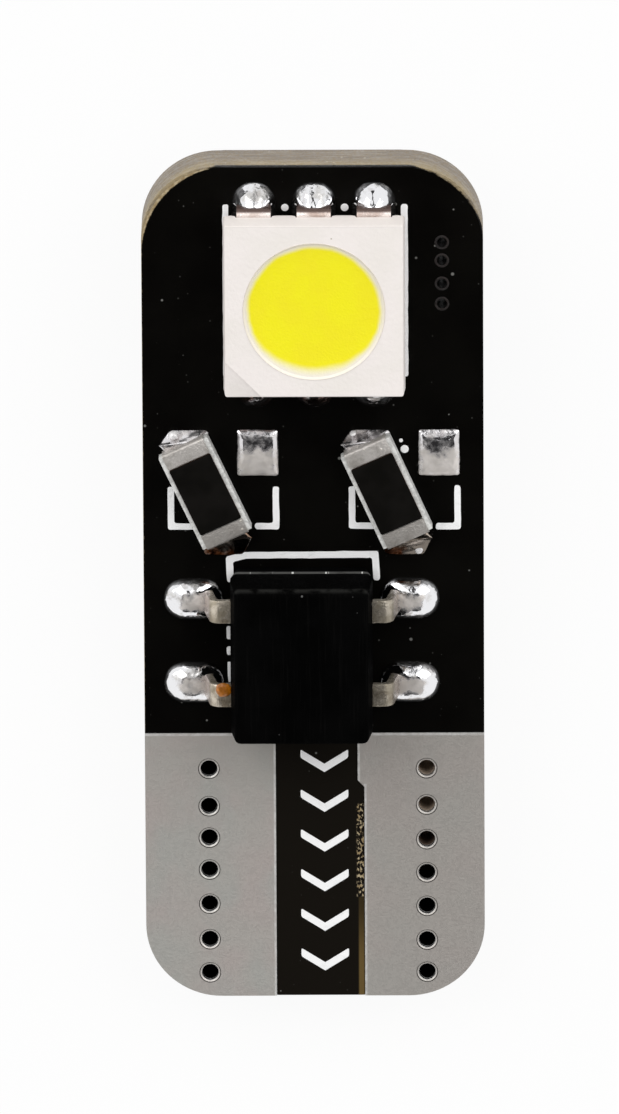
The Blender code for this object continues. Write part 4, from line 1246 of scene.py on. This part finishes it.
def lamp(side, place):
    """One lamp: housing, gel, six folded leads and their solder."""
    prefix = side + "_led"
    centre = middle(prefix + "_housing", place)
    seat = stand(centre.x, centre.y)
    leads = lamp_leads(prefix, place @ seat)
    half_length = span(prefix + "_housing", place @ seat)[1].y
    lamp_housing(prefix, place @ seat, leads)
    gel(prefix, place @ seat)
    wall = half_length + 2 * SEAT + LAMP_LEAD_SHEET / 2
    foot = SOLDER_FILM + LAMP_LEAD_SHEET / 2
    corners = [
        (wall - LAMP_LEAD_ROOT, LAMP_PARTING), (wall, LAMP_PARTING), (wall, foot),
        (wall - LAMP_LEAD_TAIL, foot),
    ]
    half = LAMP_LEAD_WIDTH / 2 + LAMP_PAD_OVERHANG
    outer = wall + LAMP_LEAD_SHEET / 2 + LAMP_PAD_REACH
    for number, (x, sign) in enumerate(leads, start=1):
        name = f"{prefix}_lead_{number}"
        turn = seat @ stand(x, 0.0, sign * math.pi / 2)
        lead = bent_strip(name + "_strip", corners, LAMP_LEAD_WIDTH, LAMP_LEAD_SHEET, 0.14, 0.035)
        settle(lead, place @ turn, LAMP_LEAD_TIN, "tinned_lead", name)
        outline = sheet("pad", (half_length + 0.01, -half), (outer, half), SEAT)
        round_corners(outline, half * 0.92, 7, lambda v: v.co.x > outer - HAIR)
        dome = heap(f"{prefix}_dome_{number}", outline, LAMP_DOME, (wall, 0.0), 0.45, 0.12, 6, 84)
        move(dome, turn)
        soften(dome, 2, 0.05, 0.5)
        nodes = [f"{prefix}_solder_{number}"] if side == "front" else []
        settle(dome, place, LAMP_SOLDER, "solder", *nodes)


# Rectifier

def rectifier_body(seat, half_x, half_y, low, high):
    """The moulded body, drawn in above and below its parting line."""
    parting = (0.0, 0.0, RECTIFIER_PARTING)
    body = block("rectifier_moulding", (-half_x, -half_y, low), (half_x, half_y, high))
    edit(body)
    pick_all()
    bpy.ops.mesh.bisect(plane_co=parting, plane_no=(0.0, 0.0, 1.0))
    pick("VERT", lambda v: abs(v.co.z - RECTIFIER_PARTING) > 0.1)
    resize((1 - RECTIFIER_DRAFT / half_x, 1 - RECTIFIER_DRAFT / half_y, 1.0), parting)
    pick("EDGE", lambda e: rise(e) > 0.03)
    bevel(RECTIFIER_EDGE, 4)
    pick("EDGE", lambda e: min(v.co.z for v in e.verts) > high - HAIR)
    bevel(RECTIFIER_EDGE, 4)
    finish_edit()
    round_off(body, 0.01, 1)
    settle(body, FRONT @ seat, EPOXY, "rectifier_epoxy", "rectifier_body")


def rectifier():
    """The rectifier: body, four gull-wing leads and their mounds of solder."""
    low, high = span("rectifier_body", FRONT)
    seat = stand((low.x + high.x) / 2, (low.y + high.y) / 2)
    half_x, half_y = (high.x - low.x) / 2, (high.y - low.y) / 2
    rectifier_body(seat, half_x, half_y, low.z, high.z)
    foot = SOLDER_FILM + RECTIFIER_LEAD_SHEET / 2
    toe = half_x + RECTIFIER_TOE
    corners = [
        (half_x - RECTIFIER_LEAD_ROOT, RECTIFIER_PARTING), (half_x + RECTIFIER_SHOULDER, RECTIFIER_PARTING),
        (half_x + RECTIFIER_HEEL, foot), (toe, foot),
    ]
    for number in range(1, 5):
        name = f"rectifier_lead_{number}"
        at = middle(name, FRONT @ seat)
        turn = seat @ stand(0.0, at.y, math.pi if at.x < 0 else 0.0)
        lead = bent_strip(name + "_strip", corners, RECTIFIER_LEAD_WIDTH, RECTIFIER_LEAD_SHEET, 0.17, 0.03)
        settle(lead, FRONT @ turn, RECTIFIER_LEAD_TIN, "tinned_lead", name)
        pad_low, pad_high = span(f"rectifier_solder_{number}", FRONT @ turn)
        half = (pad_high.y - pad_low.y) / 2
        outline = sheet("pad", (pad_low.x, -half), (pad_high.x, half), SEAT)
        round_corners(outline, half * 0.97, 6)
        mound = heap(
            f"rectifier_mound_{number}", outline, RECTIFIER_MOUND, (toe - 0.22, 0.0), 0.75, 0.3
        )
        soften(mound, 2, 0.03, 0.5)
        move(mound, turn)
        settle(mound, FRONT, BRIGHT_SOLDER, "solder", f"rectifier_solder_{number}")


# Resistors

def resistor(prefix, place, size, band, margin, cap_half):
    """A ceramic slab with its glaze and its two wrapped end caps, in its own frame."""
    length, width, height = size
    top = SOLDER_FILM + height
    film = CAP_FILM
    ceramic = block(
        prefix + "_slab", (-length / 2 + film, -width / 2, SOLDER_FILM + film),
        (length / 2 - film, width / 2, top - film),
    )
    round_off(ceramic, 0.03)
    settle(ceramic, place, CERAMIC, "alumina", prefix + "_ceramic")
    end = length / 2 - band - SEAT
    side = width / 2 - margin
    coat = block(prefix + "_overcoat", (-end, -side, top - film), (end, side, top + 0.02))
    edit(coat)
    pick("EDGE", lambda e: rise(e) > HAIR)
    bevel(0.05, 3)
    finish_edit()
    round_off(coat, 0.02)
    settle(coat, place, GLAZE, "resistor_glaze", prefix + "_glaze")
    inner, outer = length / 2 - band, length / 2 - film / 2
    upper, lower = top - film / 2, SOLDER_FILM + film / 2
    corners = [(inner, upper), (outer, upper), (outer, lower), (inner, lower)]
    for which, turn in (("upper", 0.0), ("lower", math.pi)):
        cap = bent_strip(f"{prefix}_{which}_cap", corners, 2 * cap_half, film, 0.05, 0.012)
        settle(
            cap, place @ Matrix.Rotation(turn, 4, "Z"), TERMINAL, "tinned_terminal",
            f"{prefix}_{which}_terminal",
        )


def small_resistor(prefix):
    """A chip resistor that lies slantwise between its pads, with a slope of solder at each end."""
    upper = middle(prefix + "_upper_terminal", FRONT)
    lower = middle(prefix + "_lower_terminal", FRONT)
    centre = ((upper + lower) / 2).xy
    turn = math.atan2(upper.y - lower.y, upper.x - lower.x)
    resistor(prefix, FRONT @ stand(*centre, turn), *CHIP_RESISTOR)
    half_length = CHIP_RESISTOR[0][0] / 2
    along = Vector((math.cos(turn), math.sin(turn)))
    for which, sign, finish in (("upper", 1, FROSTED_SOLDER), ("lower", -1, STAINED_SOLDER)):
        node = f"{prefix}_{which}_solder"
        pad_low, pad_high = span(node, FRONT)
        pad_high.y = max(pad_high.y, pad_low.y + CHIP_PAD_LENGTH)
        outline = sheet("pad", pad_low, pad_high, SEAT)
        round_corners(outline, 0.12, 3)
        crest = centre + sign * along * (half_length + 0.01)
        fillet = wetted_slope(
            f"{prefix}_{which}_fillet", outline, CHIP_FILLET, crest, (1.16, 0.06), turn - math.pi / 2
        )
        soften(fillet, 3, 0.03, 0.5)
        settle(fillet, FRONT, finish, "solder", node)


def bare_pad(node):
    """A pad with nothing on it, under a low pillow of solder."""
    low, high = span(node, FRONT)
    outline = sheet("pad", low, high, SEAT)
    round_corners(outline, 0.08, 3)
    centre = ((low.x + high.x) / 2, (low.y + high.y) / 2)
    pillow = heap(node + "_pillow", outline, BARE_PAD_PILLOW, centre, 1.0, 0.0, 5, 88)
    soften(pillow, 3, 0.04, 0.4)
    settle(pillow, FRONT, FROSTED_SOLDER, "solder", node)


def load_resistors():
    """The two wide resistors on the back, with the solder at their ends."""
    for number in (1, 2):
        prefix = f"load_resistor_{number}"
        centre = middle(prefix + "_ceramic", BACK)
        seat = stand(centre.x, centre.y, math.pi / 2)
        resistor(prefix, BACK @ seat, *LOAD_RESISTOR)
        for which, turn in (("upper", 0.0), ("lower", math.pi)):
            outline = sheet("pad", *LOAD_PAD, SEAT)
            round_corners(outline, 0.12, 3, lambda v: v.co.x > 3.4)
            fillet = heap(
                f"{prefix}_{which}_fillet", outline, LOAD_FILLET, (LOAD_PAD[0][0] + 0.1, 0.0), 0.4, 0.9, 5, 78
            )
            move(fillet, seat @ Matrix.Rotation(turn, 4, "Z"))
            soften(fillet, 2, 0.05, 0.5)
            settle(fillet, BACK, FROSTED_SOLDER, "solder")


def stray_drops():
    """Knobs of solder and drops of flux where the joints left them."""
    for prefix, size in (("left_resistor", 0.34), ("right_resistor", 0.20)):
        low, high = span(prefix + "_upper_solder", FRONT)
        centre = (low.x + 0.4 * size, high.y - 0.25 * size, 0.20)
        bead(prefix + "_knob", centre, (size, 0.8 * size, 0.36), HIGHLIGHTED_KNOB, "solder")
    low, high = span("right_resistor_lower_solder", FRONT)
    bead("right_pad_corner", (high.x - 0.16, low.y + 0.16, 0.10), (0.30, 0.36, 0.16), HIGHLIGHTED_KNOB, "solder")
    bead("flux_drop", (-2.49, -2.66, 1.34), (0.50, 0.48, 0.16), AMBER, "flux_residue")


# Studio

def camera():
    """The photograph's own view: over the lamp end, a little off square."""
    yaw, lean, roll = CAMERA_YAW, CAMERA_LEAN, CAMERA_ROLL
    across = Vector((math.cos(yaw), 0.0, math.sin(yaw)))
    along = Vector(
        (math.sin(lean) * math.sin(yaw), math.cos(lean), -math.cos(yaw) * math.sin(lean))
    )
    back = Vector(
        (-math.sin(yaw) * math.cos(lean), math.sin(lean), math.cos(yaw) * math.cos(lean))
    )
    right = math.cos(roll) * across - math.sin(roll) * along
    up = math.sin(roll) * across + math.cos(roll) * along
    shift_x, shift_y = CAMERA_SHIFT
    eye = -shift_x * right - shift_y * up + CAMERA_DISTANCE * back
    turn = FRONT.to_quaternion().to_matrix()
    right, up, back = (turn @ axis for axis in (right, up, back))
    data = bpy.data.cameras.new("photo_camera")
    data.sensor_width = SENSOR
    data.lens = FOCAL_PIXELS * SENSOR / PHOTO_HEIGHT
    data.clip_start = 0.01
    data.clip_end = 10.0
    view = bpy.data.objects.new("photo_camera", data)
    bpy.context.scene.collection.objects.link(view)
    pose = Matrix((right, up, back)).transposed().to_4x4()
    pose.translation = FRONT @ eye
    view.matrix_world = pose
    bpy.context.scene.camera = view


def seen_or_mirrored(tree):
    """1 for a ray that comes from the camera, from a gloss or through glass, and 0 for soft light."""
    rays = add(tree, "LightPath").outputs
    gloss = maths(tree, "MAXIMUM", rays["Is Glossy Ray"], rays["Is Transmission Ray"])
    return maths(tree, "MAXIMUM", rays["Is Camera Ray"], gloss)


def surroundings():
    """A white tent, dimmer as a light than as a backdrop."""
    world = bpy.data.worlds.new("white_tent")
    bpy.context.scene.world = world
    world.use_nodes = True
    tree = world.node_tree
    background = tree.nodes["Background"]
    background.inputs["Color"].default_value = (1.0, 1.0, 1.0, 1.0)
    level = add(tree, "MapRange", Value=seen_or_mirrored(tree), To_Min=0.53, To_Max=1.0)
    feed(tree, background.inputs["Strength"], level.outputs[0])


def floor():
    """A white table that keeps a faint shadow."""
    begin()
    bpy.ops.mesh.primitive_plane_add(size=6.0)
    ground = named("floor")
    material = bpy.data.materials.new("white_table")
    material.use_nodes = True
    tree = material.node_tree
    shader = tree.nodes["Principled BSDF"]
    shader.inputs["Base Color"].default_value = (0.9, 0.9, 0.9, 1.0)
    shader.inputs["Roughness"].default_value = 0.9
    glow = add(tree, "Emission", Strength=1.0)
    mixed = add(tree, "MixShader")
    feed(tree, mixed.inputs[0], maths(tree, "MULTIPLY", seen_or_mirrored(tree), 0.92))
    feed(tree, mixed.inputs[1], shader.outputs[0])
    feed(tree, mixed.inputs[2], glow.outputs[0])
    feed(tree, tree.nodes["Material Output"].inputs["Surface"], mixed.outputs[0])
    ground.data.materials.append(material)


def black_card():
    material = bpy.data.materials.new("black_card")
    material.use_nodes = True
    shader = material.node_tree.nodes["Principled BSDF"]
    shader.inputs["Base Color"].default_value = (0.004, 0.004, 0.004, 1.0)
    shader.inputs["Specular IOR Level"].default_value = 0.0
    shader.inputs["Emission Color"].default_value = (0.03, 0.029, 0.03, 1.0)
    shader.inputs["Emission Strength"].default_value = 1.0
    return material


def card(name, place, size, material):
    """A card that only shows in reflections, where the real studio was dark."""
    begin()
    bpy.ops.mesh.primitive_plane_add(size=1.0, location=place)
    flag = bpy.context.object
    flag.name = name
    flag.scale = (*size, 1.0)
    flag.rotation_mode = "QUATERNION"
    flag.rotation_quaternion = (-Vector(place)).to_track_quat("Z", "Y")
    flag.data.materials.append(material)
    flag.visible_camera = False
    flag.visible_diffuse = False
    flag.visible_shadow = False
    flag.visible_transmission = False


def softbox(name, place, size, power):
    data = bpy.data.lights.new(name, "AREA")
    data.shape = "RECTANGLE"
    data.size, data.size_y = size
    data.energy = power
    box = bpy.data.objects.new(name, data)
    bpy.context.scene.collection.objects.link(box)
    box.location = place
    box.rotation_mode = "QUATERNION"
    box.rotation_quaternion = (-Vector(place)).to_track_quat("-Z", "Y")


def studio():
    bpy.context.scene.view_settings.view_transform = "Standard"
    surroundings()
    floor()
    softbox("left_softbox", (-0.26, 0.22, 0.26), (0.36, 0.36), 0.80)
    softbox("right_softbox", (0.26, 0.22, 0.26), (0.36, 0.36), 0.80)
    black = black_card()
    card("overhead_card", (0.0, -0.16, 0.42), (0.62, 0.56), black)
    card("middle_card", (0.0, 0.30, 0.22), (0.05, 0.60), black)


board_core()
masks()
contact("left_contact", -1, VIA_LEFT)
contact("right_contact", 1, VIA_RIGHT)
link_rings()
legend()
lamp("front", FRONT)
lamp("back", BACK)
rectifier()
small_resistor("left_resistor")
small_resistor("right_resistor")
bare_pad("left_bare_pad")
bare_pad("right_bare_pad")
load_resistors()
stray_drops()
studio()
camera()
